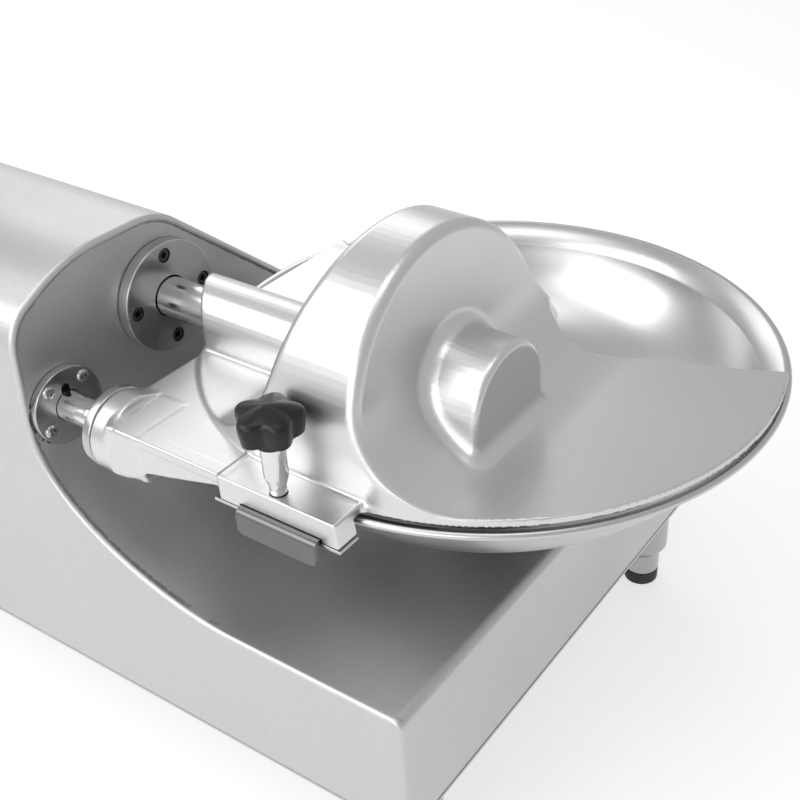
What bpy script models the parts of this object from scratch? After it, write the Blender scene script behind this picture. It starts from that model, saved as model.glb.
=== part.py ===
"""Bench meat bowl cutter: cast housing, turning bowl, three sickle knives and a hinged cover.

Every outline is drawn in the machine's own frame: the bowl's axis is Z, the rim's top
plane is z = 0, the knife shaft runs along X, and -Y faces the operator.
An empty then lifts the whole machine so that its feet stand on z = 0.
"""
import math

import bmesh
import bpy
from mathutils import Matrix, Vector

# Shared clearances and cut overrun
SEAT_GAP = 0.0003
RUNNING_GAP = 0.0006
OVERRUN = 0.002
FULL_TURN = 2 * math.pi

# Bowl
RIM_RADIUS = 0.200
RIM_BEAD_HEIGHT = 0.0048
RIM_BEAD_WIDTH = 0.007
BOWL_WALL = 0.003
RIM_FLAT_WIDTH = 0.014
CHANNEL_CENTRE_Z = 0.0225
CHANNEL_TOP_Z = -0.009
HUB_TOP_RADIUS = 0.010
HUB_BOSS_RADIUS = 0.017
HUB_BOSS_BOTTOM_Z = -0.044
BOWL_SEGMENTS = 44
CHANNEL_STEPS = 7
FINE_TURN = 24
PLAIN_TURN = 14
SMALL_TURN = 12
HINGE_TURN = 32
HOLE_TURN = 20
BOLT_TURN = 8
RIM_TURN = 96

# Knife shaft and knives
SHAFT_RADIUS = 0.0141
BEARING_SEAT_RADIUS = 0.0125
PULLEY_SEAT_RADIUS = 0.010
KNIFE_SEAT_RADIUS = 0.011
KNIFE_THREAD_RADIUS = 0.009
KNIFE_TIP_GAP = 0.0033
KNIFE_THICKNESS = 0.003
KNIFE_PITCH = 0.013
KNIFE_COUNT = 3
KNIFE_RING_RADIUS = 0.024
KNIFE_SPACER_RADIUS = 0.021
KNIFE_HUB_RADIUS = 0.015
KNIFE_FLANGE_RADIUS = 0.024
KNIFE_FLANGE_THICKNESS = 0.005
KNIFE_NUT_RADIUS = 0.022
KNIFE_NUT_LENGTH = 0.014
KNIFE_SWEEP = math.radians(150)
KNIFE_BACK_START = math.radians(62)
KNIFE_TIP_ROOM = math.radians(5)
KNIFE_EDGE_POWER = 0.75
KNIFE_BACK_POWER = 1.5
KNIFE_BACK_SHARE = 0.97
KNIFE_BACK_TURN_POWER = 0.8
KNIFE_STEPS = 10
KNIFE_EYE_STEPS = 16

# Body shell, outline across the shaft and outline along it
SHELL_WALL = 0.004
FRONT_ROOM = 0.021
BACK_Y = 0.178
HOUSING_LENGTH = 0.3055
LIP_ROOM = 0.0145
LIP_WIDTH = 0.0045
LIP_DEPTH = 0.0015
BASE_RIGHT_X = 0.075
BASE_TOP_Z = -0.122
BASE_BOTTOM_Z = -0.226
ARCH_SPRING_Z = -0.010
ARCH_LEAN = 0.004
ARCH_CORNER_Z = 0.055
ARCH_SHOULDER_INSET = 0.056
ARCH_TOP_Z = 0.083
ARCH_CREST_INSET = 0.136
SLOPE_FOOT_Y = 0.153
ARCH_CORNER_RADIUS = 0.034
ARCH_SHOULDER_RADIUS = 0.105
ARCH_CREST_RADIUS = 0.054
SLOPE_FOOT_RADIUS = 0.020
BASE_BACK_RADIUS = 0.008
COVE_TOP_Z = -0.025
COVE_FOOT_X = -0.060
COVE_POWER = 1.8
COVE_STEPS = 10
BASE_END_RADIUS = 0.008

# End cover and bottom plate
PLATE_THICKNESS = 0.0027
END_COVER_THICKNESS = 0.003
LOUVRE_COUNT = 6
LOUVRE_PITCH = 0.018
LOUVRE_LENGTH = 0.090
LOUVRE_HEIGHT = 0.005
LOUVRE_END_RADIUS = 0.0024
LOUVRE_LOW_Z = -0.190
LOUVRE_Y = -0.020

# Legs
LEG_RIGHT_INSET = 0.021
LEG_BACK_INSET = 0.028
LEG_FRONT_INSET = 0.031
LEG_LEFT_INSET = 0.035
LEG_RADIUS = 0.0205
LEG_NECK_RADIUS = 0.01475
LEG_STEP_Z = -0.258
LEG_NECK_Z = -0.265
FOOT_BOTTOM_Z = -0.296
FOOT_HEIGHT = 0.012
FOOT_PIN_RADIUS = 0.004
FOOT_PIN_LENGTH = 0.008

# Shaft flange, bearing housing and seal
FLANGE_RADIUS = 0.040
FLANGE_THICKNESS = 0.009
FLANGE_BORE = 0.0150
FLANGE_SCREW_CIRCLE = 0.031
CAP_SCREW_SHANK = 0.003
COUNTERBORE_RADIUS = 0.0053
COUNTERBORE_DEPTH = 0.006
BEARING_OUTER_RADIUS = 0.026
BEARING_WIDTH = 0.015
BEARING_HOUSING_RADIUS = 0.031
BEARING_HOUSING_FLANGE_RADIUS = 0.038
BEARING_HOUSING_FLANGE_THICKNESS = 0.008
BEARING_HOUSING_END_ROOM = 0.0037
BEARING_SHOULDER_RADIUS = 0.022
FRONT_BEARING_SET_BACK = 0.010
SEAL_RADIUS = 0.0205
SEAL_WIDTH = 0.005

# Hinge
HINGE_INSET = 0.010
HINGE_Z = -0.0145
HINGE_SHAFT_RADIUS = 0.0105
HINGE_FLANGE_RADIUS = 0.027
HINGE_FLANGE_THICKNESS = 0.006
HINGE_SLEEVE_RADIUS = 0.016
HINGE_SLEEVE_LENGTH = 0.034
MAGNET_COLLAR_RADIUS = 0.014
MAGNET_COLLAR_LENGTH = 0.008
KEYHOLE_WIDTH = 0.0068
KEYHOLE_DEPTH = 0.0165
HINGE_PIN_RADIUS = 0.003
HINGE_PIN_REACH = 0.0138
HINGE_PIN_ROOM = 0.0335
HINGE_PIN_LEAN = math.radians(45)
HINGE_RING_RADIUS = 0.0274
HINGE_RING_ROOM = 0.0475
HINGE_RING_WIDTH = 0.0065
COLLAR_LENGTH = 0.0172
REED_SWITCH_SIZE = 0.012

# Cover casting
CASTING_WALL = 0.005
LID_INSET = 0.0035
LID_TOP_Z = 0.0072
LID_THICKNESS = 0.0042
LID_TAIL_X = 0.186
LID_TAIL_Y = 0.065
LID_WAIST_X = 0.066
LID_WAIST_Y = 0.020
LID_CROWN_Y = 0.054
HOOD_CHANNEL_STEP = 0.0052
HOOD_CENTRE_Z = 0.0325
HOOD_LEFT_X = -0.0486
HOOD_RIGHT_X = 0.0377
LEFT_DRAFT_SHARE = 0.24
RIGHT_DRAFT_SHARE = 0.107
HOOD_FLARE_Z = 0.042
HOOD_BACK_ANGLE = math.radians(24)
HOOD_FLARE_Y = 0.016
HOOD_SEGMENTS = 30
FILLET_RADIUS = 0.050
FILLET_TOP_Z = 0.048
FILLET_LENGTH_SHARE = 1.05
FILLET_STEPS = 6
BOSS_RADIUS = 0.038
BOSS_END_X = 0.071
BOSS_Z = 0.033
TUNNEL_RADIUS = 0.0245
TUNNEL_WALL = 0.004
TUNNEL_END_INSET = 0.006
WEB_TOP_Z = 0.006
WEB_BOTTOM_Z = 0.0018
WEB_COLLAR_OVERLAP = 0.012
WEB_CORNER = 0.004
ARM_SET_BACK = 0.003
ARM_THICKNESS = 0.0095
ARM_RIGHT_X = -0.046
ARM_LOW_Z = -0.029
ARM_BLOCK_LENGTH = 0.025
ARM_BLOCK_DEPTH = 0.018
ARM_EDGE_RADIUS = 0.002
ARM_HEEL_RADIUS = 0.006
ARM_TOE_RADIUS = 0.008
LUG_LEFT_X = -0.051
LUG_RIGHT_X = 0.036
LUG_REACH = 0.017
LUG_TOP_Z = 0.009
LUG_BOTTOM_Z = -0.008
LUG_UNDERSIDE_Z = 0.0034
RIM_REBATE_WIDTH = 0.014
RIM_ROOM = 0.0035

# Knob, clamp screw, rim wiper and keeper
KNOB_X = -0.010
KNOB_SET_BACK = 0.0075
KNOB_LOBES = 5
KNOB_PHASE = math.radians(46)
KNOB_RADIUS = 0.0178
KNOB_LOBE_HEIGHT = 0.0024
KNOB_HUB_RADIUS = 0.00925
KNOB_HUB_Z = 0.043
KNOB_SKIRT_Z = 0.0485
KNOB_TOP_Z = 0.069
KNOB_STEPS = 30
SLEEVE_RADIUS = 0.00715
SLEEVE_LOW_Z = 0.021
NECK_RADIUS = 0.0045
NECK_TOP_Z = 0.013
THREAD_RADIUS = 0.0038
CLAMP_LIFT = 0.0025
PAD_RADIUS = 0.0055
PAD_HEIGHT = 0.0025
WIPER_TOP_Z = -0.0053
WIPER_THICKNESS = 0.0024
WIPER_LEFT_X = -0.034
WIPER_RIGHT_X = 0.024
WIPER_OVERHANG = 0.0055
WIPER_BOTTOM_Z = -0.022
WIPER_BEND = 0.004
WIPER_CORNER = 0.004
WIPER_RIM_GAP = 0.0008
KEEPER_THICKNESS = 0.002
KEEPER_OVERHANG = 0.004

# Bowl drive
NUT_RADIUS = 0.008
NUT_HEIGHT = 0.0072
NUT_THREAD_RADIUS = 0.005
SPINDLE_RADIUS = 0.010
SPINDLE_TOP_RADIUS = 0.0075
SPINDLE_BOTTOM_Z = -0.192
DRIVE_PLATE_RADIUS = 0.0205
DRIVE_PLATE_THICKNESS = 0.006
DRIVE_PIN_CIRCLE = 0.0128
DRIVE_PIN_RADIUS = 0.0022
DRIVE_PIN_HEIGHT = 0.006
SPINDLE_HOUSING_RADIUS = 0.026
SPINDLE_HOUSING_TOP_Z = -0.062
SPINDLE_HOUSING_BOTTOM_Z = -0.160
SPINDLE_FLANGE_RADIUS = 0.044
SPINDLE_FLANGE_THICKNESS = 0.008
SPINDLE_BEARING_RADIUS = 0.021
SPINDLE_BEARING_WIDTH = 0.012
SPINDLE_SHOULDER_RADIUS = 0.017
WHEEL_RADIUS = 0.040
WHEEL_THICKNESS = 0.018
WHEEL_TOP_Z = -0.166
WHEEL_TEETH = 40
TOOTH_DEPTH = 0.003
WORM_TIP_RADIUS = 0.011
WORM_CORE_RADIUS = 0.009
WORM_LENGTH = 0.056
WORM_TURNS = 5
WORM_SHAFT_RADIUS = 0.008
WORM_SHAFT_RIGHT_X = 0.060
WORM_BLOCK_X = 0.044
WORM_BLOCK_WIDTH = 0.014
WORM_BLOCK_HALF_DEPTH = 0.020
WORM_BLOCK_HEAD = 0.016
WORM_BRACKET_BASE = 0.008

# Motor and belts
MOTOR_Y = 0.040
MOTOR_Z = -0.135
MOTOR_RADIUS = 0.062
MOTOR_BORE = 0.038
MOTOR_BELL_RADIUS = 0.057
MOTOR_LENGTH = 0.142
BELL_LENGTH = 0.016
MOTOR_SHAFT_RADIUS = 0.0095
ROTOR_AIR_GAP = 0.001
ROTOR_LENGTH = 0.090
FAN_RADIUS = 0.050
FAN_LENGTH = 0.012
FAN_BLADES = 7
FAN_BLADE_THICKNESS = 0.0025
FAN_HUB_RADIUS = 0.016
BULKHEAD_INSET = 0.074
BULKHEAD_THICKNESS = 0.006
BULKHEAD_FOOT = 0.020
DRIVE_PULLEY_RADIUS = 0.040
BOWL_PULLEY_SMALL_RADIUS = 0.028
BOWL_PULLEY_RADIUS = 0.042
PULLEY_RIM = 0.004
PULLEY_WEB = 0.002
BELT_WIDTH = 0.012
BELT_THICKNESS = 0.0035
BELT_ARC_STEPS = 18
BELT_ONE_ROOM = 0.046
BELT_TWO_ROOM = 0.023
SHAFT_END_MARGIN = 0.004

# Switches and cable gland
SWITCH_ROOM = 0.120
SWITCH_Z = -0.070
SWITCH_PLATE_WIDTH = 0.090
SWITCH_PLATE_HEIGHT = 0.044
SWITCH_PLATE_THICKNESS = 0.002
SWITCH_PLATE_CORNER = 0.006
BUTTON_SPACING = 0.040
BUTTON_RADIUS = 0.011
BUTTON_STEM_RADIUS = 0.006
BUTTON_HEIGHT = 0.007
BUTTON_STEM_LENGTH = 0.014
BUTTON_COLLAR_HEIGHT = 0.003
BUTTON_COLLAR_WALL = 0.002
GLAND_ROOM = 0.120
GLAND_Z = -0.195
GLAND_RADIUS = 0.011
GLAND_NUT_RADIUS = 0.0135
GLAND_NUT_LENGTH = 0.007
GLAND_LENGTH = 0.016
GLAND_BORE = 0.005
GLAND_MOUTH_RADIUS = 0.0082
GLAND_TAPER = 0.0032

# Values worked out from the sizes above
CHANNEL_CENTRE_RADIUS = (RIM_RADIUS - RIM_FLAT_WIDTH) / 2
CHANNEL_RADIUS = CHANNEL_CENTRE_RADIUS + SEAT_GAP
KNIFE_RADIUS = CHANNEL_RADIUS - KNIFE_TIP_GAP
HOOD_RADIUS = CHANNEL_RADIUS + HOOD_CHANNEL_STEP
SHAFT_Y = -CHANNEL_CENTRE_RADIUS
SHAFT_Z = CHANNEL_CENTRE_Z
LID_RADIUS = RIM_RADIUS - LID_INSET
TUNNEL_END_RADIUS = RIM_RADIUS - TUNNEL_END_INSET
RIM_REBATE_RADIUS = RIM_RADIUS - RIM_REBATE_WIDTH
RIM_ROOM_RADIUS = RIM_RADIUS + RIM_ROOM
LIP_X = -RIM_RADIUS - LIP_ROOM
END_FACE_X = LIP_X - LIP_DEPTH
HOUSING_LEFT_X = LIP_X - HOUSING_LENGTH
BULKHEAD_X = HOUSING_LEFT_X + BULKHEAD_INSET
BULKHEAD_RIGHT_X = BULKHEAD_X + BULKHEAD_THICKNESS
BELT_ONE_X = BULKHEAD_X - BELT_ONE_ROOM
BELT_TWO_X = BULKHEAD_X - BELT_TWO_ROOM
BEARING_HOUSING_END_X = BULKHEAD_RIGHT_X + BEARING_HOUSING_END_ROOM
BEARING_HOUSING_LENGTH = END_FACE_X - SHELL_WALL - SEAT_GAP - BEARING_HOUSING_END_X
HINGE_PIN_X = LIP_X + HINGE_PIN_ROOM
HINGE_RING_LEFT_X = LIP_X + HINGE_RING_ROOM
COLLAR_RIGHT_X = HINGE_RING_LEFT_X + HINGE_RING_WIDTH + SEAT_GAP + COLLAR_LENGTH
WEB_LEFT_X = COLLAR_RIGHT_X - WEB_COLLAR_OVERLAP
ARM_BLOCK_RIGHT_X = COLLAR_RIGHT_X + ARM_BLOCK_LENGTH
FRONT_Y = -RIM_RADIUS - FRONT_ROOM
ARCH_SHOULDER_Y = FRONT_Y + ARCH_SHOULDER_INSET
ARCH_CREST_Y = FRONT_Y + ARCH_CREST_INSET
HINGE_Y = HINGE_INSET - RIM_RADIUS
ARM_BLOCK_BACK_Y = HINGE_Y + ARM_BLOCK_DEPTH
LUG_FRONT_Y = -RIM_RADIUS - LUG_REACH
ARM_FRONT_Y = LUG_FRONT_Y + ARM_SET_BACK
ARM_BACK_Y = ARM_FRONT_Y + ARM_THICKNESS
KNOB_Y = LUG_FRONT_Y + KNOB_SET_BACK
WIPER_FRONT_Y = LUG_FRONT_Y - WIPER_OVERHANG
LEG_X = BASE_RIGHT_X - LEG_RIGHT_INSET
LEG_LEFT_X = HOUSING_LEFT_X + LEG_LEFT_INSET
LEG_FRONT_Y = FRONT_Y + LEG_FRONT_INSET
LEG_BACK_Y = BACK_Y - LEG_BACK_INSET
SWITCH_X = HOUSING_LEFT_X + SWITCH_ROOM
GLAND_X = HOUSING_LEFT_X + GLAND_ROOM
SHELL_LEFT_X = HOUSING_LEFT_X + END_COVER_THICKNESS
SHELL_BOTTOM_Z = BASE_BOTTOM_Z + PLATE_THICKNESS
FLANGE_FRONT_X = END_FACE_X + FLANGE_THICKNESS
WORM_Y = -(WHEEL_RADIUS + WORM_TIP_RADIUS + RUNNING_GAP)
WORM_Z = WHEEL_TOP_Z - WHEEL_THICKNESS / 2
KNOB_REACH = KNOB_RADIUS + KNOB_LOBE_HEIGHT
BUTTON_FRONT_Y = FRONT_Y - SWITCH_PLATE_THICKNESS - BUTTON_HEIGHT
MACHINE_FRONT_Y = min(KNOB_Y - KNOB_REACH, BUTTON_FRONT_Y)

AXES = {"X": Vector((1, 0, 0)), "Y": Vector((0, 1, 0)), "Z": Vector((0, 0, 1))}


# Scene helpers
def clear_scene():
    """Remove every object that a new scene starts with."""
    for found in list(bpy.data.objects):
        bpy.data.objects.remove(found, do_unlink=True)


def finish(name, colour, roughness, metallic):
    """Make one Principled material."""
    made = bpy.data.materials.new(name)
    made.use_nodes = True
    shader = made.node_tree.nodes["Principled BSDF"]
    shader.inputs["Base Color"].default_value = (*colour, 1)
    shader.inputs["Roughness"].default_value = roughness
    shader.inputs["Metallic"].default_value = metallic
    return made


def empty_at(name, point, parent=None):
    """Make an empty that carries moving pieces, on their joint's axis."""
    made = bpy.data.objects.new(name, None)
    bpy.context.scene.collection.objects.link(made)
    made.location = point
    made.parent = parent
    return made


def machine_point(carrier):
    """Place of a carrier in the machine's frame."""
    return carrier.location if carrier.parent else Vector((0, 0, 0))


def add_object(name, mesh_builder, look, carrier):
    """Turn a bmesh drawn in the machine's frame into an object under its carrier."""
    bmesh.ops.recalc_face_normals(mesh_builder, faces=mesh_builder.faces)
    bmesh.ops.translate(mesh_builder, verts=mesh_builder.verts, vec=-machine_point(carrier))
    mesh = bpy.data.meshes.new(name)
    mesh_builder.to_mesh(mesh)
    mesh_builder.free()
    mesh.shade_smooth()
    mesh.set_sharp_from_angle(angle=math.radians(35))
    made = bpy.data.objects.new(name, mesh)
    bpy.context.scene.collection.objects.link(made)
    made.parent = carrier
    if look:
        mesh.materials.append(look)
    return made


def tool_object(name, mesh_builder, carrier):
    """Make a hidden solid that a Boolean uses."""
    made = add_object(name, mesh_builder, None, carrier)
    made.hide_render = True
    made.display_type = "WIRE"
    return made


def combine(piece, operation, mesh_builder):
    """Apply one exact Boolean between a piece and a hidden solid."""
    tool = tool_object(f"{piece.name}_tool_{len(piece.modifiers)}", mesh_builder, piece.parent)
    step = piece.modifiers.new(operation.lower(), "BOOLEAN")
    step.operation = operation
    step.solver = "EXACT"
    step.object = tool


def cut(piece, mesh_builder):
    combine(piece, "DIFFERENCE", mesh_builder)


def join(piece, mesh_builder):
    combine(piece, "UNION", mesh_builder)


def keep(piece, mesh_builder):
    combine(piece, "INTERSECT", mesh_builder)


# Drawing helpers
def in_space(axis, first, second, along):
    """Point of a flat outline, placed at a distance along its axis."""
    if axis == "X":
        return Vector((along, first, second))
    if axis == "Y":
        return Vector((first, along, second))
    return Vector((first, second, along))


def prism(outline, axis, low, high, into=None):
    """Extrude a closed outline along an axis."""
    made = into or bmesh.new()
    corners = [made.verts.new(in_space(axis, u, v, low)) for u, v in outline]
    face = made.faces.new(corners)
    grown = bmesh.ops.extrude_face_region(made, geom=[face])["geom"]
    moved = [item for item in grown if isinstance(item, bmesh.types.BMVert)]
    bmesh.ops.translate(made, verts=moved, vec=AXES[axis] * (high - low))
    return made


def loft(outlines, axis, stations, into=None):
    """Skin a closed solid through outlines with the same number of points."""
    made = into or bmesh.new()
    rings = []
    for outline, along in zip(outlines, stations):
        rings.append([made.verts.new(in_space(axis, u, v, along)) for u, v in outline])
    count = len(rings[0])
    for lower, upper in zip(rings, rings[1:]):
        for i in range(count):
            j = (i + 1) % count
            made.faces.new((lower[i], lower[j], upper[j], upper[i]))
    made.faces.new(rings[0])
    made.faces.new(rings[-1])
    return made


def turned(profile, axis, centre, segments, into=None):
    """Spin a profile of (radius, distance along the axis) about an axis line."""
    made = into or bmesh.new()
    first = len(made.verts)
    side = {"X": "Y", "Y": "X", "Z": "X"}[axis]
    points = []
    for radius, along in profile:
        points.append(made.verts.new(AXES[side] * radius + AXES[axis] * along + centre))
    closed = min(radius for radius, _ in profile) > 0
    ends = list(zip(points, points[1:]))
    if closed:
        ends.append((points[-1], points[0]))
    edges = [made.edges.new(pair) for pair in ends]
    bmesh.ops.spin(
        made, geom=points + edges, cent=centre, axis=AXES[axis], dvec=Vector((0, 0, 0)),
        angle=FULL_TURN, steps=segments, use_duplicate=False, use_merge=False,
    )
    made.verts.ensure_lookup_table()
    new = [made.verts[i] for i in range(first, len(made.verts))]
    bmesh.ops.remove_doubles(made, verts=new, dist=SEAT_GAP / 100)
    return made


def disc(axis, centre, radius, low, high, segments=16, into=None):
    """Round bar whose ends lie at two distances along the axis."""
    outline = circle(centre, radius, segments)
    return prism(outline, axis, low, high, into)


def circle(centre, radius, segments, start=0):
    """Points of a circle in a flat outline."""
    turn = FULL_TURN / segments
    return [
        (centre[0] + radius * math.cos(start + turn * i), centre[1] + radius * math.sin(start + turn * i))
        for i in range(segments)
    ]


def arc(centre, radius, start, end, steps):
    """Points of an arc from one angle to another, both ends included."""
    angles = [start + (end - start) * i / steps for i in range(steps + 1)]
    return [(centre[0] + radius * math.cos(a), centre[1] + radius * math.sin(a)) for a in angles]


def rounded(corners, steps=4):
    """Closed outline from (u, v, radius) corners, with an arc at each radius over zero."""
    points = []
    for i, (u, v, radius) in enumerate(corners):
        here = Vector((u, v))
        if not radius:
            points.append((u, v))
            continue
        before = (Vector(corners[i - 1][:2]) - here).normalized()
        after = (Vector(corners[(i + 1) % len(corners)][:2]) - here).normalized()
        half = before.angle(after) / 2
        middle = here + (before + after).normalized() * (radius / math.sin(half))
        reach = radius / math.tan(half)
        first = here + before * reach - middle
        last = here + after * reach - middle
        turn = first.angle_signed(last)
        for k in range(steps + 1):
            spoke = Matrix.Rotation(-turn * k / steps, 2) @ first
            points.append(tuple(middle + spoke))
    return points


def inset(outline, distance):
    """Move each side of a closed outline inwards by one distance."""
    area = sum(a[0] * b[1] - b[0] * a[1] for a, b in zip(outline, outline[1:] + outline[:1]))
    inward = math.copysign(distance, area)
    moved = []
    count = len(outline)
    for i in range(count):
        before = Vector(outline[i - 1])
        here = Vector(outline[i])
        after = Vector(outline[(i + 1) % count])
        left = (here - before).normalized()
        right = (after - here).normalized()
        normal_left = Vector((-left.y, left.x))
        normal_right = Vector((-right.y, right.x))
        bend = 1 + normal_left.dot(normal_right)
        moved.append(tuple(here + (normal_left + normal_right) * (inward / bend)))
    return moved


def polar(centre, radius, angle):
    """Point at a radius and an angle from a centre."""
    return centre[0] + radius * math.cos(angle), centre[1] + radius * math.sin(angle)


def ring_of(centre, radius, count, start=0):
    """Centres of a circular hole pattern."""
    return [polar(centre, radius, start + FULL_TURN * i / count) for i in range(count)]


def block(x_range, y_range, z_range, into=None):
    """Square-edged solid between two corners."""
    outline = [
        (x_range[0], y_range[0]), (x_range[1], y_range[0]),
        (x_range[1], y_range[1]), (x_range[0], y_range[1]),
    ]
    return prism(outline, "Z", z_range[0], z_range[1], into)


SHAFT_CENTRE = (SHAFT_Y, SHAFT_Z)
HINGE_CENTRE = (HINGE_Y, HINGE_Z)
MOTOR_CENTRE = (MOTOR_Y, MOTOR_Z)
WORM_CENTRE = (WORM_Y, WORM_Z)
SHAFT_LINE = Vector((0, SHAFT_Y, SHAFT_Z))
HINGE_LINE = Vector((0, HINGE_Y, HINGE_Z))
MOTOR_LINE = Vector((0, MOTOR_Y, MOTOR_Z))
WORM_LINE = Vector((0, WORM_Y, WORM_Z))
BOWL_LINE = Vector((0, 0, 0))
KNOB_LINE = Vector((KNOB_X, KNOB_Y, 0))


# Housing
def shell_cross_outline():
    """Front wall, arched top, long back slope and base, seen along the knife shaft."""
    return rounded([
        (FRONT_Y, SHELL_BOTTOM_Z, 0),
        (FRONT_Y, ARCH_SPRING_Z, 0),
        (FRONT_Y + ARCH_LEAN, ARCH_CORNER_Z, ARCH_CORNER_RADIUS),
        (ARCH_SHOULDER_Y, ARCH_TOP_Z, ARCH_SHOULDER_RADIUS),
        (ARCH_CREST_Y, ARCH_TOP_Z, ARCH_CREST_RADIUS),
        (SLOPE_FOOT_Y, BASE_TOP_Z, SLOPE_FOOT_RADIUS),
        (BACK_Y, BASE_TOP_Z, BASE_BACK_RADIUS),
        (BACK_Y, SHELL_BOTTOM_Z, 0),
    ])


def shell_long_outline(right_x):
    """Tall housing, the cove below its end face and the low base, seen from the front."""
    width = COVE_FOOT_X - right_x
    height = COVE_TOP_Z - BASE_TOP_Z
    cove = []
    for i in range(COVE_STEPS + 1):
        angle = math.pi / 2 * i / COVE_STEPS
        across = math.cos(angle) ** (2 / COVE_POWER)
        down = math.sin(angle) ** (2 / COVE_POWER)
        cove.append((COVE_FOOT_X - width * across, COVE_TOP_Z - height * down))
    end = rounded([
        (BASE_RIGHT_X - FLANGE_RADIUS, BASE_TOP_Z, 0),
        (BASE_RIGHT_X, BASE_TOP_Z, BASE_END_RADIUS),
        (BASE_RIGHT_X, SHELL_BOTTOM_Z, 0),
    ])
    top = ARCH_TOP_Z + FLANGE_RADIUS
    left = [(SHELL_LEFT_X, SHELL_BOTTOM_Z), (SHELL_LEFT_X, top), (right_x, top)]
    return left + cove + end


def make_body_shell(look, carrier):
    """One hollow shell, open at its left end and underneath."""
    cross = shell_cross_outline()
    shell = add_object(
        "body_shell", prism(cross, "X", SHELL_LEFT_X, BASE_RIGHT_X), look, carrier
    )
    keep(shell, prism(shell_long_outline(LIP_X), "Y", FRONT_Y - OVERRUN, BACK_Y + OVERRUN))
    inner_cross = inset(cross, SHELL_WALL)
    inner_cross[0] = (inner_cross[0][0], SHELL_BOTTOM_Z - OVERRUN)
    inner_cross[-1] = (inner_cross[-1][0], SHELL_BOTTOM_Z - OVERRUN)
    inner_long = inset(shell_long_outline(END_FACE_X), SHELL_WALL)
    inner_long[0] = (SHELL_LEFT_X - OVERRUN, SHELL_BOTTOM_Z - 2 * OVERRUN)
    inner_long[1] = (SHELL_LEFT_X - OVERRUN, inner_long[1][1])
    inner_long[-1] = (inner_long[-1][0], SHELL_BOTTOM_Z - 2 * OVERRUN)
    hollow = tool_object(
        "body_shell_hollow", prism(inner_cross, "X", SHELL_LEFT_X - 2 * OVERRUN, BASE_RIGHT_X), carrier
    )
    keep(hollow, prism(inner_long, "Y", FRONT_Y, BACK_Y))
    step = shell.modifiers.new("hollow", "BOOLEAN")
    step.operation = "DIFFERENCE"
    step.solver = "EXACT"
    step.object = hollow
    cut(shell, end_face_recess(cross))
    cut(shell, shell_openings())
    spot_face = HINGE_FLANGE_RADIUS + RUNNING_GAP
    cut(shell, disc("X", HINGE_CENTRE, spot_face, END_FACE_X, LIP_X + FLANGE_THICKNESS, HINGE_TURN))
    return shell


def end_face_recess(cross):
    """Shallow recess that leaves the raised lip round the housing's end face."""
    recess = inset(cross, LIP_WIDTH)
    above_cove = [(y, max(z, COVE_TOP_Z)) for y, z in recess]
    kept = [point for i, point in enumerate(above_cove) if point != above_cove[i - 1]]
    return prism(kept, "X", END_FACE_X, LIP_X + OVERRUN)


def shell_openings():
    """Holes for the shaft, its flange screws, the hinge, the spindle, switches and gland."""
    holes = disc("X", SHAFT_CENTRE, BEARING_SHOULDER_RADIUS, END_FACE_X - 2 * SHELL_WALL, LIP_X, FINE_TURN)
    for centre in ring_of(SHAFT_CENTRE, FLANGE_SCREW_CIRCLE, 4):
        disc("X", centre, CAP_SCREW_SHANK + SEAT_GAP, END_FACE_X - 2 * SHELL_WALL, LIP_X, BOLT_TURN, holes)
    disc("X", HINGE_CENTRE, HINGE_PIN_REACH + OVERRUN, END_FACE_X - 2 * SHELL_WALL, LIP_X, HOLE_TURN, holes)
    disc(
        "Z", (0, 0), SPINDLE_HOUSING_RADIUS + SEAT_GAP,
        BASE_TOP_Z - 2 * SHELL_WALL, BASE_TOP_Z + OVERRUN, HINGE_TURN, holes,
    )
    for side in (-1, 1):
        centre = (SWITCH_X + side * BUTTON_SPACING / 2, SWITCH_Z)
        disc("Y", centre, BUTTON_RADIUS, FRONT_Y - OVERRUN, FRONT_Y + 2 * SHELL_WALL, HOLE_TURN, holes)
    deep = BACK_Y - 2 * SHELL_WALL
    disc("Y", (GLAND_X, GLAND_Z), GLAND_RADIUS + SEAT_GAP, deep, BACK_Y + OVERRUN, HOLE_TURN, holes)
    return holes


def make_end_cover(look, carrier):
    """Louvred plate that closes the housing's left end."""
    cover = add_object(
        "end_cover", prism(shell_cross_outline(), "X", HOUSING_LEFT_X, SHELL_LEFT_X - SEAT_GAP),
        look, carrier,
    )
    slots = bmesh.new()
    front = LOUVRE_Y - LOUVRE_LENGTH / 2
    back = LOUVRE_Y + LOUVRE_LENGTH / 2
    for i in range(LOUVRE_COUNT):
        z = LOUVRE_LOW_Z + LOUVRE_PITCH * i
        slot = rounded([
            (front, z, LOUVRE_END_RADIUS), (back, z, LOUVRE_END_RADIUS),
            (back, z + LOUVRE_HEIGHT, LOUVRE_END_RADIUS), (front, z + LOUVRE_HEIGHT, LOUVRE_END_RADIUS),
        ], 2)
        prism(slot, "X", HOUSING_LEFT_X - OVERRUN, SHELL_LEFT_X + OVERRUN, slots)
    cut(cover, slots)
    return cover


def make_bottom_plate(look, carrier):
    """Flat plate that closes the shell underneath and carries legs and drive."""
    top = SHELL_BOTTOM_Z - SEAT_GAP
    return add_object(
        "bottom_plate",
        block((HOUSING_LEFT_X, BASE_RIGHT_X), (FRONT_Y, BACK_Y), (BASE_BOTTOM_Z, top)),
        look, carrier,
    )


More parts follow.
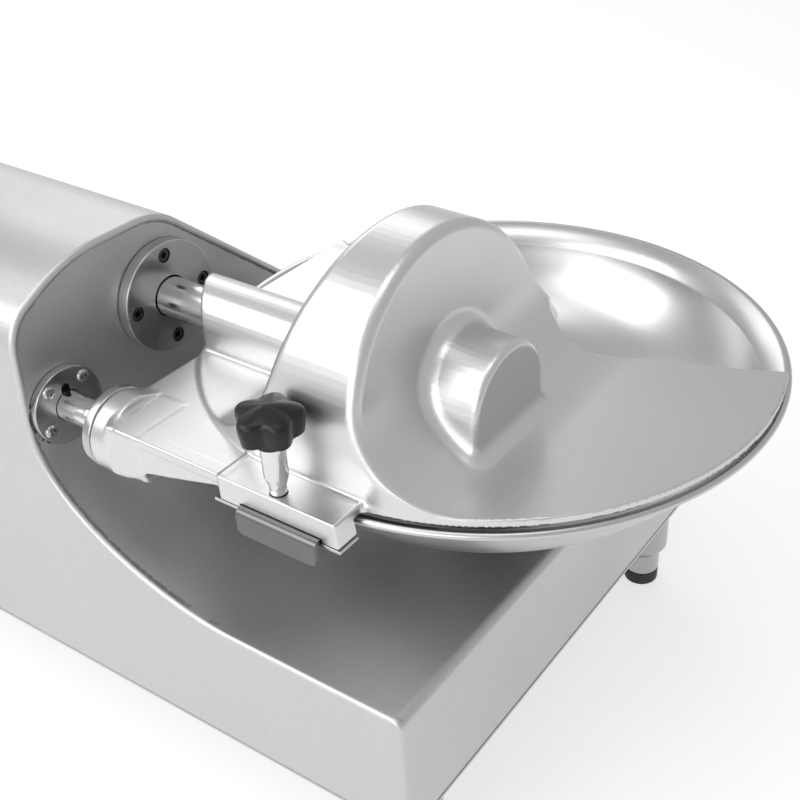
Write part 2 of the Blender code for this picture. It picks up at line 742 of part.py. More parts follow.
def make_leg(index, x, y, look, carrier):
    """Stepped leg with a bore for the foot's pin."""
    top = BASE_BOTTOM_Z - SEAT_GAP
    low = FOOT_BOTTOM_Z + FOOT_HEIGHT
    bore = FOOT_PIN_RADIUS + SEAT_GAP
    profile = [
        (0, top), (LEG_RADIUS, top), (LEG_RADIUS, LEG_STEP_Z), (LEG_NECK_RADIUS, LEG_NECK_Z),
        (LEG_NECK_RADIUS, low), (bore, low), (bore, low + FOOT_PIN_LENGTH + SEAT_GAP),
        (0, low + FOOT_PIN_LENGTH + SEAT_GAP),
    ]
    leg = turned(profile, "Z", Vector((x, y, 0)), PLAIN_TURN)
    return add_object(f"leg_{index}", leg, look, carrier)


def make_rubber_foot(index, x, y, look, carrier):
    """Rubber tip pushed into a leg."""
    top = FOOT_BOTTOM_Z + FOOT_HEIGHT - SEAT_GAP
    profile = [
        (0, top + FOOT_PIN_LENGTH), (FOOT_PIN_RADIUS, top + FOOT_PIN_LENGTH),
        (FOOT_PIN_RADIUS, top), (LEG_NECK_RADIUS, top),
        (LEG_NECK_RADIUS - SEAT_GAP, FOOT_BOTTOM_Z), (0, FOOT_BOTTOM_Z),
    ]
    tip = turned(profile, "Z", Vector((x, y, 0)), PLAIN_TURN)
    return add_object(f"rubber_foot_{index}", tip, look, carrier)


# Knife shaft bearings on the housing
def make_shaft_flange(look, carrier):
    """Round flange with four counterbored screw holes and a seal pocket behind."""
    back = END_FACE_X + SEAT_GAP
    profile = [
        (FLANGE_RADIUS, FLANGE_FRONT_X), (FLANGE_RADIUS, back), (SEAL_RADIUS + SEAT_GAP, back),
        (SEAL_RADIUS + SEAT_GAP, back + SEAL_WIDTH), (FLANGE_BORE, back + SEAL_WIDTH),
        (FLANGE_BORE, FLANGE_FRONT_X),
    ]
    flange = add_object("shaft_flange", turned(profile, "X", SHAFT_LINE, FINE_TURN), look, carrier)
    wide = bmesh.new()
    narrow = bmesh.new()
    for centre in ring_of(SHAFT_CENTRE, FLANGE_SCREW_CIRCLE, 4):
        floor = FLANGE_FRONT_X - COUNTERBORE_DEPTH
        disc("X", centre, COUNTERBORE_RADIUS, floor, FLANGE_FRONT_X + OVERRUN, SMALL_TURN, wide)
        disc("X", centre, CAP_SCREW_SHANK + SEAT_GAP, back - OVERRUN, FLANGE_FRONT_X, BOLT_TURN, narrow)
    cut(flange, wide)
    cut(flange, narrow)
    return flange


def bearing_spans():
    """Left and right ends of the rear and the front bearing, along the shaft."""
    front = END_FACE_X - SHELL_WALL - FRONT_BEARING_SET_BACK
    rear = END_FACE_X - SHELL_WALL - SEAT_GAP - BEARING_HOUSING_LENGTH
    return (rear, rear + BEARING_WIDTH), (front - BEARING_WIDTH, front)


def make_bearing_housing(look, carrier):
    """Turned tube behind the end wall that holds both shaft bearings."""
    right = END_FACE_X - SHELL_WALL - SEAT_GAP
    (rear_left, rear_right), (front_left, _) = bearing_spans()
    seat = BEARING_OUTER_RADIUS + SEAT_GAP
    flange_left = right - BEARING_HOUSING_FLANGE_THICKNESS
    profile = [
        (BEARING_HOUSING_FLANGE_RADIUS, right), (BEARING_HOUSING_FLANGE_RADIUS, flange_left),
        (BEARING_HOUSING_RADIUS, flange_left), (BEARING_HOUSING_RADIUS, rear_left),
        (seat, rear_left), (seat, rear_right + SEAT_GAP), (BEARING_SHOULDER_RADIUS, rear_right + SEAT_GAP),
        (BEARING_SHOULDER_RADIUS, front_left - SEAT_GAP), (seat, front_left - SEAT_GAP), (seat, right),
    ]
    housing = add_object("bearing_housing", turned(profile, "X", SHAFT_LINE, FINE_TURN), look, carrier)
    holes = bmesh.new()
    for centre in ring_of(SHAFT_CENTRE, FLANGE_SCREW_CIRCLE, 4):
        deep = flange_left - OVERRUN
        disc("X", centre, CAP_SCREW_SHANK + SEAT_GAP, deep, right + OVERRUN, BOLT_TURN, holes)
    cut(housing, holes)
    return housing


def make_knife_bearings(look, carrier):
    """Two shielded ball bearings, each drawn as one ring."""
    bore = BEARING_SEAT_RADIUS + SEAT_GAP
    for name, (left, right) in zip(("rear", "front"), bearing_spans()):
        ring = tube(SHAFT_LINE, "X", bore, BEARING_OUTER_RADIUS, left, right, FINE_TURN)
        add_object(f"knife_bearing_{name}", ring, look, carrier)


def tube(line, axis, inner, outer, low, high, segments, into=None):
    """Plain ring or tube."""
    profile = [(outer, high), (outer, low), (inner, low), (inner, high)]
    return turned(profile, axis, line, segments, into)


def make_shaft_seal(look, carrier):
    low = END_FACE_X + 2 * SEAT_GAP
    high = low + SEAL_WIDTH - 2 * SEAT_GAP
    seal = tube(SHAFT_LINE, "X", SHAFT_RADIUS + SEAT_GAP, SEAL_RADIUS, low, high, FINE_TURN)
    return add_object("shaft_seal", seal, look, carrier)


# Knife shaft and what turns with it
def knife_stations():
    """Middle of each knife along the shaft, and the span of the clamped stack."""
    middles = [(i - (KNIFE_COUNT - 1) / 2) * KNIFE_PITCH for i in range(KNIFE_COUNT)]
    left = middles[0] - KNIFE_THICKNESS / 2
    right = middles[-1] + KNIFE_THICKNESS / 2
    return middles, left, right


def make_knife_shaft(look, carrier):
    """Stepped shaft from the pulley end to the thread beyond the knives."""
    (_, _), (_, front) = bearing_spans()
    _, stack_left, stack_right = knife_stations()
    hub_left = stack_left - KNIFE_FLANGE_THICKNESS
    left = BELT_ONE_X - BELT_WIDTH / 2 - PULLEY_WEB - SHAFT_END_MARGIN
    tip = stack_right + KNIFE_NUT_LENGTH + SHAFT_END_MARGIN
    profile = [
        (0, tip), (KNIFE_THREAD_RADIUS, tip), (KNIFE_THREAD_RADIUS, stack_right),
        (KNIFE_SEAT_RADIUS, stack_right), (KNIFE_SEAT_RADIUS, hub_left - SEAT_GAP),
        (SHAFT_RADIUS, hub_left - SEAT_GAP), (SHAFT_RADIUS, front + SEAT_GAP),
        (BEARING_SEAT_RADIUS, front + SEAT_GAP), (BEARING_SEAT_RADIUS, BULKHEAD_X),
        (PULLEY_SEAT_RADIUS, BULKHEAD_X), (PULLEY_SEAT_RADIUS, left), (0, left),
    ]
    return add_object("knife_shaft", turned(profile, "X", SHAFT_LINE, FINE_TURN), look, carrier)


def make_knife_hub(look, carrier):
    """Flanged sleeve that the knives are threaded on."""
    _, left, right = knife_stations()
    bore = KNIFE_SEAT_RADIUS + SEAT_GAP
    start = left - KNIFE_FLANGE_THICKNESS
    profile = [
        (KNIFE_HUB_RADIUS, right), (KNIFE_HUB_RADIUS, left - SEAT_GAP),
        (KNIFE_FLANGE_RADIUS, left - SEAT_GAP), (KNIFE_FLANGE_RADIUS, start),
        (bore, start), (bore, right),
    ]
    return add_object("knife_hub", turned(profile, "X", SHAFT_LINE, PLAIN_TURN), look, carrier)


def knife_outline(phase):
    """Sickle knife: a long convex cutting edge, a hollow back and a round eye."""
    reach = KNIFE_RADIUS - KNIFE_RING_RADIUS
    points = []
    for i in range(KNIFE_STEPS + 1):
        part = i / KNIFE_STEPS
        radius = KNIFE_RING_RADIUS + reach * part ** KNIFE_EDGE_POWER
        points.append(polar(SHAFT_CENTRE, radius, phase + KNIFE_SWEEP * part))
    back_end = KNIFE_SWEEP + KNIFE_TIP_ROOM
    for i in range(KNIFE_STEPS + 1):
        part = 1 - i / KNIFE_STEPS
        radius = KNIFE_RING_RADIUS + reach * KNIFE_BACK_SHARE * part ** KNIFE_BACK_POWER
        angle = KNIFE_BACK_START + (back_end - KNIFE_BACK_START) * part ** KNIFE_BACK_TURN_POWER
        points.append(polar(SHAFT_CENTRE, radius, phase + angle))
    # The eye's far side runs on from the foot of the back to the heel of the edge.
    rest = FULL_TURN - KNIFE_BACK_START
    eye = [
        polar(SHAFT_CENTRE, KNIFE_RING_RADIUS, phase + KNIFE_BACK_START + rest * i / KNIFE_EYE_STEPS)
        for i in range(1, KNIFE_EYE_STEPS)
    ]
    return points + eye


def make_knives(look, carrier):
    """Three knives, each turned a third of a turn from the last, with a spacer ring on its eye."""
    middles, _, _ = knife_stations()
    for i, middle in enumerate(middles):
        low = middle - KNIFE_THICKNESS / 2
        high = middle + KNIFE_THICKNESS / 2
        blade = add_object(
            f"knife_{i + 1}", prism(knife_outline(FULL_TURN * i / KNIFE_COUNT), "X", low, high),
            look, carrier,
        )
        if i < KNIFE_COUNT - 1:
            high = low + KNIFE_PITCH - SEAT_GAP
            join(blade, disc("X", SHAFT_CENTRE, KNIFE_SPACER_RADIUS, middle, high, PLAIN_TURN))
        bore = KNIFE_HUB_RADIUS + SEAT_GAP
        cut(blade, disc("X", SHAFT_CENTRE, bore, low - OVERRUN, high + OVERRUN, PLAIN_TURN))


def make_knife_nut(look, carrier):
    """Hexagon nut with a washer face that clamps the stack."""
    _, _, right = knife_stations()
    low = right + SEAT_GAP
    face = low + KNIFE_NUT_LENGTH / 4
    washer = disc("X", SHAFT_CENTRE, KNIFE_NUT_RADIUS, low, face, FINE_TURN)
    nut = add_object("knife_nut", washer, look, carrier)
    join(nut, disc("X", SHAFT_CENTRE, KNIFE_NUT_RADIUS, face - OVERRUN, low + KNIFE_NUT_LENGTH, 6))
    bore = KNIFE_THREAD_RADIUS + SEAT_GAP
    cut(nut, disc("X", SHAFT_CENTRE, bore, low - OVERRUN, low + KNIFE_NUT_LENGTH + OVERRUN, HOLE_TURN))
    return nut


def pulley_profile(radius, middle, bore):
    """Flat-belt pulley with a rim on each side."""
    half = BELT_WIDTH / 2
    return [
        (radius + PULLEY_RIM, middle + half + PULLEY_WEB), (radius + PULLEY_RIM, middle + half + SEAT_GAP),
        (radius, middle + half + SEAT_GAP), (radius, middle - half - SEAT_GAP),
        (radius + PULLEY_RIM, middle - half - SEAT_GAP), (radius + PULLEY_RIM, middle - half - PULLEY_WEB),
        (bore, middle - half - PULLEY_WEB), (bore, middle + half + PULLEY_WEB),
    ]


def make_pulley(name, line, radius, middle, bore, look, carrier):
    profile = pulley_profile(radius, middle, bore + SEAT_GAP)
    return add_object(name, turned(profile, "X", line, PLAIN_TURN), look, carrier)


def make_knife_pulley(look, carrier):
    """Double pulley: the motor's belt runs on one step, the bowl's belt on the other."""
    bore = PULLEY_SEAT_RADIUS + SEAT_GAP
    first = pulley_profile(DRIVE_PULLEY_RADIUS, BELT_ONE_X, bore)
    second = pulley_profile(BOWL_PULLEY_SMALL_RADIUS, BELT_TWO_X, bore)
    profile = second[:6] + first[:7] + [second[7]]
    return add_object("knife_pulley", turned(profile, "X", SHAFT_LINE, PLAIN_TURN), look, carrier)


def belt_outline(first, first_radius, second, second_radius):
    """Closed belt line round two pulleys, by their outer tangents."""
    gap = Vector(second) - Vector(first)
    heading = math.atan2(gap.y, gap.x)
    lean = math.acos((first_radius - second_radius) / gap.length)
    far = arc(second, second_radius, heading - lean, heading + lean, BELT_ARC_STEPS)
    near = arc(first, first_radius, heading + lean, heading - lean + FULL_TURN, BELT_ARC_STEPS)
    return far + near


def make_belt(name, middle, first, first_radius, second, second_radius, look, carrier):
    """Flat belt, a loop of constant thickness."""
    low = middle - BELT_WIDTH / 2
    high = middle + BELT_WIDTH / 2
    grow = SEAT_GAP + BELT_THICKNESS
    outer = belt_outline(first, first_radius + grow, second, second_radius + grow)
    inner = belt_outline(first, first_radius + SEAT_GAP, second, second_radius + SEAT_GAP)
    belt = add_object(name, prism(outer, "X", low, high), look, carrier)
    cut(belt, prism(inner, "X", low - OVERRUN, high + OVERRUN))
    return belt


# Bowl and its drive
def bowl_profile():
    """Round channel about a raised hub, with a flared lip and a rolled bead."""
    def sweep(grow, low_angle, high_angle):
        reach = CHANNEL_RADIUS + grow
        return arc((CHANNEL_CENTRE_RADIUS, CHANNEL_CENTRE_Z), reach, low_angle, high_angle, CHANNEL_STEPS)

    top_angle = math.asin((CHANNEL_TOP_Z - CHANNEL_CENTRE_Z) / CHANNEL_RADIUS)
    hub_angle = math.pi + math.acos((CHANNEL_CENTRE_RADIUS - HUB_TOP_RADIUS) / CHANNEL_RADIUS)
    inside = sweep(0, top_angle + FULL_TURN, hub_angle)
    outer_top = math.asin((CHANNEL_TOP_Z - CHANNEL_CENTRE_Z) / (CHANNEL_RADIUS + BOWL_WALL))
    under_angle = math.pi + math.acos(
        (CHANNEL_CENTRE_RADIUS - HUB_BOSS_RADIUS) / (CHANNEL_RADIUS + BOWL_WALL)
    )
    outside = sweep(BOWL_WALL, outer_top + FULL_TURN, under_angle)
    bore = SPINDLE_TOP_RADIUS + SEAT_GAP
    bead_in = RIM_RADIUS - RIM_BEAD_WIDTH
    round_off = RIM_BEAD_HEIGHT / 4
    rim = [
        (RIM_RADIUS - round_off, -RIM_BEAD_HEIGHT), (RIM_RADIUS, -RIM_BEAD_HEIGHT + round_off),
        (RIM_RADIUS, -round_off), (RIM_RADIUS - round_off, 0), (bead_in, 0),
    ]
    hub_bore = [(bore, inside[-1][1]), (bore, HUB_BOSS_BOTTOM_Z), (HUB_BOSS_RADIUS, HUB_BOSS_BOTTOM_Z)]
    lip_under = [(bead_in - BOWL_WALL / 4, -RIM_BEAD_HEIGHT)]
    return rim + inside + hub_bore + outside[::-1] + lip_under


def make_bowl(look, carrier):
    bowl = add_object("bowl", turned(bowl_profile(), "Z", BOWL_LINE, BOWL_SEGMENTS), look, carrier)
    holes = bmesh.new()
    top = HUB_BOSS_BOTTOM_Z + DRIVE_PIN_HEIGHT + SEAT_GAP
    for centre in ring_of((0, 0), DRIVE_PIN_CIRCLE, 2):
        disc("Z", centre, DRIVE_PIN_RADIUS + SEAT_GAP, HUB_BOSS_BOTTOM_Z - OVERRUN, top, SMALL_TURN, holes)
    cut(bowl, holes)
    return bowl


def hub_top_z():
    """Flat top of the bowl's hub."""
    across = CHANNEL_CENTRE_RADIUS - HUB_TOP_RADIUS
    return CHANNEL_CENTRE_Z - math.sqrt(CHANNEL_RADIUS ** 2 - across ** 2)


def make_bowl_nut(look, carrier):
    """Domed nut on the spindle's thread."""
    low = hub_top_z() + SEAT_GAP
    top = low + NUT_HEIGHT
    bore = NUT_THREAD_RADIUS + SEAT_GAP
    dome_shares = ((0.55, 0.08), (0.85, 0.3), (1.0, 0.55))
    dome = [(NUT_RADIUS * width, top - NUT_HEIGHT * drop) for width, drop in dome_shares]
    profile = [
        (0, top), *dome, (NUT_RADIUS, low), (bore, low),
        (bore, low + NUT_HEIGHT / 2 + SEAT_GAP), (0, low + NUT_HEIGHT / 2 + SEAT_GAP),
    ]
    return add_object("bowl_nut", turned(profile, "Z", BOWL_LINE, SMALL_TURN), look, carrier)


def make_drive_plate(look, carrier):
    """Disc with two pins that carries the bowl round."""
    top = HUB_BOSS_BOTTOM_Z - SEAT_GAP
    low = top - DRIVE_PLATE_THICKNESS
    plate = tube(BOWL_LINE, "Z", SPINDLE_TOP_RADIUS + SEAT_GAP, DRIVE_PLATE_RADIUS, low, top, PLAIN_TURN)
    made = add_object("bowl_drive_plate", plate, look, carrier)
    pins = bmesh.new()
    tip = HUB_BOSS_BOTTOM_Z + DRIVE_PIN_HEIGHT
    for centre in ring_of((0, 0), DRIVE_PIN_CIRCLE, 2):
        disc("Z", centre, DRIVE_PIN_RADIUS, low + OVERRUN, tip, SMALL_TURN, pins)
    join(made, pins)
    return made


def make_spindle(look, carrier):
    """Upright spindle from the worm wheel to the bowl nut."""
    hub_top = hub_top_z()
    tip = hub_top + NUT_HEIGHT / 2
    shoulder = HUB_BOSS_BOTTOM_Z - DRIVE_PLATE_THICKNESS - 2 * SEAT_GAP
    profile = [
        (0, tip), (NUT_THREAD_RADIUS, tip), (NUT_THREAD_RADIUS, hub_top),
        (SPINDLE_TOP_RADIUS, hub_top), (SPINDLE_TOP_RADIUS, shoulder),
        (SPINDLE_RADIUS, shoulder), (SPINDLE_RADIUS, SPINDLE_BOTTOM_Z), (0, SPINDLE_BOTTOM_Z),
    ]
    return add_object("bowl_spindle", turned(profile, "Z", BOWL_LINE, PLAIN_TURN), look, carrier)


def spindle_bearing_spans():
    """Lower and upper ends of both spindle bearings."""
    low = SPINDLE_HOUSING_BOTTOM_Z
    high = SPINDLE_HOUSING_TOP_Z
    return (low, low + SPINDLE_BEARING_WIDTH), (high - SPINDLE_BEARING_WIDTH, high)


def make_spindle_housing(look, carrier):
    """Flanged tube bolted to the base, with a bearing seat at each end."""
    (low, low_top), (high_low, high) = spindle_bearing_spans()
    seat = SPINDLE_BEARING_RADIUS + SEAT_GAP
    flange_low = BASE_TOP_Z + SEAT_GAP
    flange_top = flange_low + SPINDLE_FLANGE_THICKNESS
    profile = [
        (SPINDLE_HOUSING_RADIUS, high), (SPINDLE_HOUSING_RADIUS, flange_top),
        (SPINDLE_FLANGE_RADIUS, flange_top), (SPINDLE_FLANGE_RADIUS, flange_low),
        (SPINDLE_HOUSING_RADIUS, flange_low), (SPINDLE_HOUSING_RADIUS, low),
        (seat, low), (seat, low_top + SEAT_GAP), (SPINDLE_SHOULDER_RADIUS, low_top + SEAT_GAP),
        (SPINDLE_SHOULDER_RADIUS, high_low - SEAT_GAP), (seat, high_low - SEAT_GAP), (seat, high),
    ]
    return add_object("spindle_housing", turned(profile, "Z", BOWL_LINE, PLAIN_TURN), look, carrier)


def make_spindle_bearings(look, carrier):
    """Two shielded ball bearings, each drawn as one ring."""
    for name, (low, high) in zip(("lower", "upper"), spindle_bearing_spans()):
        ring = tube(BOWL_LINE, "Z", SPINDLE_RADIUS + SEAT_GAP, SPINDLE_BEARING_RADIUS, low, high, PLAIN_TURN)
        add_object(f"spindle_bearing_{name}", ring, look, carrier)


def make_worm_wheel(look, carrier):
    """Toothed wheel on the spindle, its rim hollowed for the worm."""
    low = WHEEL_TOP_Z - WHEEL_THICKNESS
    tooth_shares = ((1, 0), (0, 0.35), (0, 0.65))
    outline = []
    pitch = FULL_TURN / WHEEL_TEETH
    for i in range(WHEEL_TEETH):
        for depth_share, turn_share in tooth_shares:
            outline.append(polar((0, 0), WHEEL_RADIUS - TOOTH_DEPTH * depth_share, pitch * (i + turn_share)))
    wheel = add_object("worm_wheel", prism(outline, "Z", low, WHEEL_TOP_Z), look, carrier)
    cut(wheel, disc("Z", (0, 0), SPINDLE_RADIUS + SEAT_GAP, low - OVERRUN, WHEEL_TOP_Z + OVERRUN, HOLE_TURN))
    return wheel


def make_worm_shaft(look, carrier):
    """Worm shaft from its pulley to the far bearing block, with the worm's ridges."""
    left = BELT_TWO_X - BELT_WIDTH / 2 - PULLEY_WEB - SHAFT_END_MARGIN
    profile = [(0, WORM_SHAFT_RIGHT_X), (WORM_SHAFT_RADIUS, WORM_SHAFT_RIGHT_X)]
    thread_shares = ((0, 0.15), (1, 0.35), (1, 0.65), (0, 0.85))
    start = WORM_LENGTH / 2
    lead = WORM_LENGTH / WORM_TURNS
    profile += [(WORM_SHAFT_RADIUS, start), (WORM_CORE_RADIUS, start)]
    for i in range(WORM_TURNS):
        right = start - lead * i
        for height_share, lead_share in thread_shares:
            radius = WORM_CORE_RADIUS + (WORM_TIP_RADIUS - WORM_CORE_RADIUS) * height_share
            profile.append((radius, right - lead * lead_share))
    profile += [
        (WORM_CORE_RADIUS, -start), (WORM_SHAFT_RADIUS, -start), (WORM_SHAFT_RADIUS, left), (0, left),
    ]
    return add_object("worm_shaft", turned(profile, "X", WORM_LINE, SMALL_TURN), look, carrier)


def make_worm_bracket(look, carrier):
    """Bracket on the bottom plate with a bearing block on each side of the worm."""
    foot = SHELL_BOTTOM_Z
    outline = [(WORM_Y - WORM_BLOCK_HALF_DEPTH, foot), (WORM_Y + WORM_BLOCK_HALF_DEPTH, foot)]
    outline += arc(WORM_CENTRE, WORM_BLOCK_HEAD, 0, math.pi, 10)
    half = WORM_BLOCK_X + WORM_BLOCK_WIDTH / 2
    bracket = add_object("worm_bracket", prism(outline, "X", -half, half), look, carrier)
    inner = WORM_BLOCK_X - WORM_BLOCK_WIDTH / 2
    depth = (WORM_Y - 2 * WORM_BLOCK_HALF_DEPTH, WORM_Y + 2 * WORM_BLOCK_HALF_DEPTH)
    cut(bracket, block((-inner, inner), depth, (foot + WORM_BRACKET_BASE, 0)))
    bore = WORM_SHAFT_RADIUS + SEAT_GAP
    cut(bracket, disc("X", WORM_CENTRE, bore, -half - OVERRUN, half + OVERRUN, HOLE_TURN))
    return bracket


# Motor
def motor_stations():
    """Ends of the motor's body along X."""
    left = BULKHEAD_X + BULKHEAD_THICKNESS + SEAT_GAP
    return left, left + MOTOR_LENGTH


def make_bulkhead(look, carrier):
    """Upright plate with a foot that carries motor, bearing housing and worm shaft."""
    wall = inset(shell_cross_outline(), SHELL_WALL + SEAT_GAP)
    floor = SHELL_BOTTOM_Z
    wall[0] = (wall[0][0], floor)
    wall[-1] = (wall[-1][0], floor)
    right = BULKHEAD_X + BULKHEAD_THICKNESS
    plate = add_object("bulkhead", prism(wall, "X", BULKHEAD_X, right), look, carrier)
    y_range = (wall[0][0], wall[-1][0])
    join(plate, block((BULKHEAD_X, right + BULKHEAD_FOOT), y_range, (floor, floor + BULKHEAD_THICKNESS)))
    holes = bmesh.new()
    for centre, radius in (
        (SHAFT_CENTRE, SHAFT_RADIUS + OVERRUN), (MOTOR_CENTRE, MOTOR_SHAFT_RADIUS + OVERRUN),
        (WORM_CENTRE, WORM_SHAFT_RADIUS + SEAT_GAP),
    ):
        disc("X", centre, radius, BULKHEAD_X - OVERRUN, right + OVERRUN, HOLE_TURN, holes)
    cut(plate, holes)
    return plate


def make_motor_body(look, carrier):
    """Round motor with its end bells, hollow for the rotor."""
    left, right = motor_stations()
    bore = MOTOR_SHAFT_RADIUS + SEAT_GAP
    step = BELL_LENGTH / 2
    profile = [
        (MOTOR_BELL_RADIUS, right), (MOTOR_BELL_RADIUS, right - step), (MOTOR_RADIUS, right - BELL_LENGTH),
        (MOTOR_RADIUS, left + BELL_LENGTH), (MOTOR_BELL_RADIUS, left + step), (MOTOR_BELL_RADIUS, left),
        (bore, left), (bore, left + BELL_LENGTH), (MOTOR_BORE, left + BELL_LENGTH),
        (MOTOR_BORE, right - BELL_LENGTH), (bore, right - BELL_LENGTH), (bore, right),
    ]
    return add_object("motor_body", turned(profile, "X", MOTOR_LINE, FINE_TURN), look, carrier)


def make_motor_shaft(look, carrier):
    """Shaft and rotor in one piece."""
    body, rear = motor_stations()
    left = BELT_ONE_X - BELT_WIDTH / 2 - PULLEY_WEB - SHAFT_END_MARGIN
    rotor = body + (MOTOR_LENGTH - ROTOR_LENGTH) / 2
    right = rear + FAN_LENGTH + 2 * SHAFT_END_MARGIN
    profile = [
        (0, right), (MOTOR_SHAFT_RADIUS, right), (MOTOR_SHAFT_RADIUS, rotor + ROTOR_LENGTH),
        (MOTOR_BORE - ROTOR_AIR_GAP, rotor + ROTOR_LENGTH), (MOTOR_BORE - ROTOR_AIR_GAP, rotor),
        (MOTOR_SHAFT_RADIUS, rotor), (MOTOR_SHAFT_RADIUS, left), (0, left),
    ]
    return add_object("motor_shaft", turned(profile, "X", MOTOR_LINE, PLAIN_TURN), look, carrier)


def make_motor_fan(look, carrier):
    """Radial fan behind the motor."""
    _, rear = motor_stations()
    low = rear + SHAFT_END_MARGIN
    hub = disc("X", MOTOR_CENTRE, FAN_HUB_RADIUS, low, low + FAN_LENGTH, SMALL_TURN)
    fan = add_object("motor_fan", hub, look, carrier)
    blades = bmesh.new()
    for i in range(FAN_BLADES):
        angle = FULL_TURN * i / FAN_BLADES
        outward = Vector((math.cos(angle), math.sin(angle)))
        across = Vector((-outward.y, outward.x)) * (FAN_BLADE_THICKNESS / 2)
        middle = Vector(MOTOR_CENTRE)
        near = middle + outward * (FAN_HUB_RADIUS - OVERRUN)
        far = middle + outward * FAN_RADIUS
        outline = [tuple(near - across), tuple(far - across), tuple(far + across), tuple(near + across)]
        prism(outline, "X", low, low + FAN_LENGTH, blades)
    join(fan, blades)
    bore = MOTOR_SHAFT_RADIUS + SEAT_GAP
    cut(fan, disc("X", MOTOR_CENTRE, bore, low - OVERRUN, low + FAN_LENGTH + OVERRUN, HOLE_TURN))
    return fan


# Hinge
def make_hinge_flange(look, carrier):
    """Small flange with a keyhole slot above the hinge shaft."""
    back = END_FACE_X + SEAT_GAP
    front = END_FACE_X + HINGE_FLANGE_THICKNESS
    plate = disc("X", HINGE_CENTRE, HINGE_FLANGE_RADIUS, back, front, HINGE_TURN)
    flange = add_object("hinge_flange", plate, look, carrier)
    bore = HINGE_SHAFT_RADIUS + SEAT_GAP
    cut(flange, disc("X", HINGE_CENTRE, bore, back - OVERRUN, front + OVERRUN, FINE_TURN))
    half = KEYHOLE_WIDTH / 2
    slot = rounded([
        (HINGE_Y - half, HINGE_Z, 0), (HINGE_Y + half, HINGE_Z, 0),
        (HINGE_Y + half, HINGE_Z + KEYHOLE_DEPTH, half - SEAT_GAP / 4),
        (HINGE_Y - half, HINGE_Z + KEYHOLE_DEPTH, half - SEAT_GAP / 4),
    ], 3)
    cut(flange, prism(slot, "X", back - OVERRUN, front + OVERRUN))
    return flange


def hinge_shaft_left():
    """Inner end of the hinge shaft, behind its sleeve."""
    return END_FACE_X - SHELL_WALL - HINGE_SLEEVE_LENGTH - 3 * SEAT_GAP - MAGNET_COLLAR_LENGTH


def make_hinge_sleeve(look, carrier):
    """Plain bush behind the end wall."""
    right = END_FACE_X - SHELL_WALL - SEAT_GAP
    left = right - HINGE_SLEEVE_LENGTH
    bore = HINGE_SHAFT_RADIUS + SEAT_GAP
    bush = tube(HINGE_LINE, "X", bore, HINGE_SLEEVE_RADIUS, left, right, FINE_TURN)
    return add_object("hinge_sleeve", bush, look, carrier)


def make_hinge_shaft(look, carrier):
    """Round shaft fixed in the cover's collar."""
    right = COLLAR_RIGHT_X + OVERRUN
    shaft = disc("X", HINGE_CENTRE, HINGE_SHAFT_RADIUS, hinge_shaft_left(), right, FINE_TURN)
    made = add_object("hinge_shaft", shaft, look, carrier)
    cut(made, hinge_pin_solid(HINGE_PIN_RADIUS + SEAT_GAP, HINGE_PIN_REACH + OVERRUN))
    return made


def hinge_pin_solid(radius, reach):
    """Cross pin through the hinge shaft, leaning up and forwards."""
    outward = Vector((0, -math.cos(HINGE_PIN_LEAN), math.sin(HINGE_PIN_LEAN)))
    made = bmesh.new()
    place = Matrix.Translation(HINGE_LINE + Vector((HINGE_PIN_X, 0, 0)))
    turn = Vector((0, 0, 1)).rotation_difference(outward).to_matrix().to_4x4()
    bmesh.ops.create_cone(
        made, cap_ends=True, segments=12, radius1=radius, radius2=radius, depth=2 * reach, matrix=place @ turn
    )
    return made


def make_hinge_pin(look, carrier):
    return add_object("hinge_pin", hinge_pin_solid(HINGE_PIN_RADIUS, HINGE_PIN_REACH), look, carrier)


def make_hinge_ring(look, carrier):
    """Thrust ring beside the cover's collar."""
    left = HINGE_RING_LEFT_X
    ring = tube(
        HINGE_LINE, "X", HINGE_SHAFT_RADIUS + SEAT_GAP, HINGE_RING_RADIUS,
        left, left + HINGE_RING_WIDTH, FINE_TURN,
    )
    return add_object("hinge_ring", ring, look, carrier)


def make_magnet_collar(look, carrier):
    """Collar with a magnet on the hinge shaft, which the reed switch reads."""
    left = hinge_shaft_left()
    ring = tube(
        HINGE_LINE, "X", HINGE_SHAFT_RADIUS + SEAT_GAP, MAGNET_COLLAR_RADIUS,
        left, left + MAGNET_COLLAR_LENGTH, HOLE_TURN,
    )
    return add_object("magnet_collar", ring, look, carrier)


def make_reed_switch(look, carrier):
    """Safety switch on the front wall beside the magnet collar."""
    left = hinge_shaft_left()
    back = HINGE_Y - MAGNET_COLLAR_RADIUS - RUNNING_GAP
    front = FRONT_Y + SHELL_WALL + SEAT_GAP
    half = REED_SWITCH_SIZE / 2
    return add_object("reed_switch", block(
        (left - half, left + MAGNET_COLLAR_LENGTH), (front, back), (HINGE_Z - half, HINGE_Z + half)
    ), look, carrier)


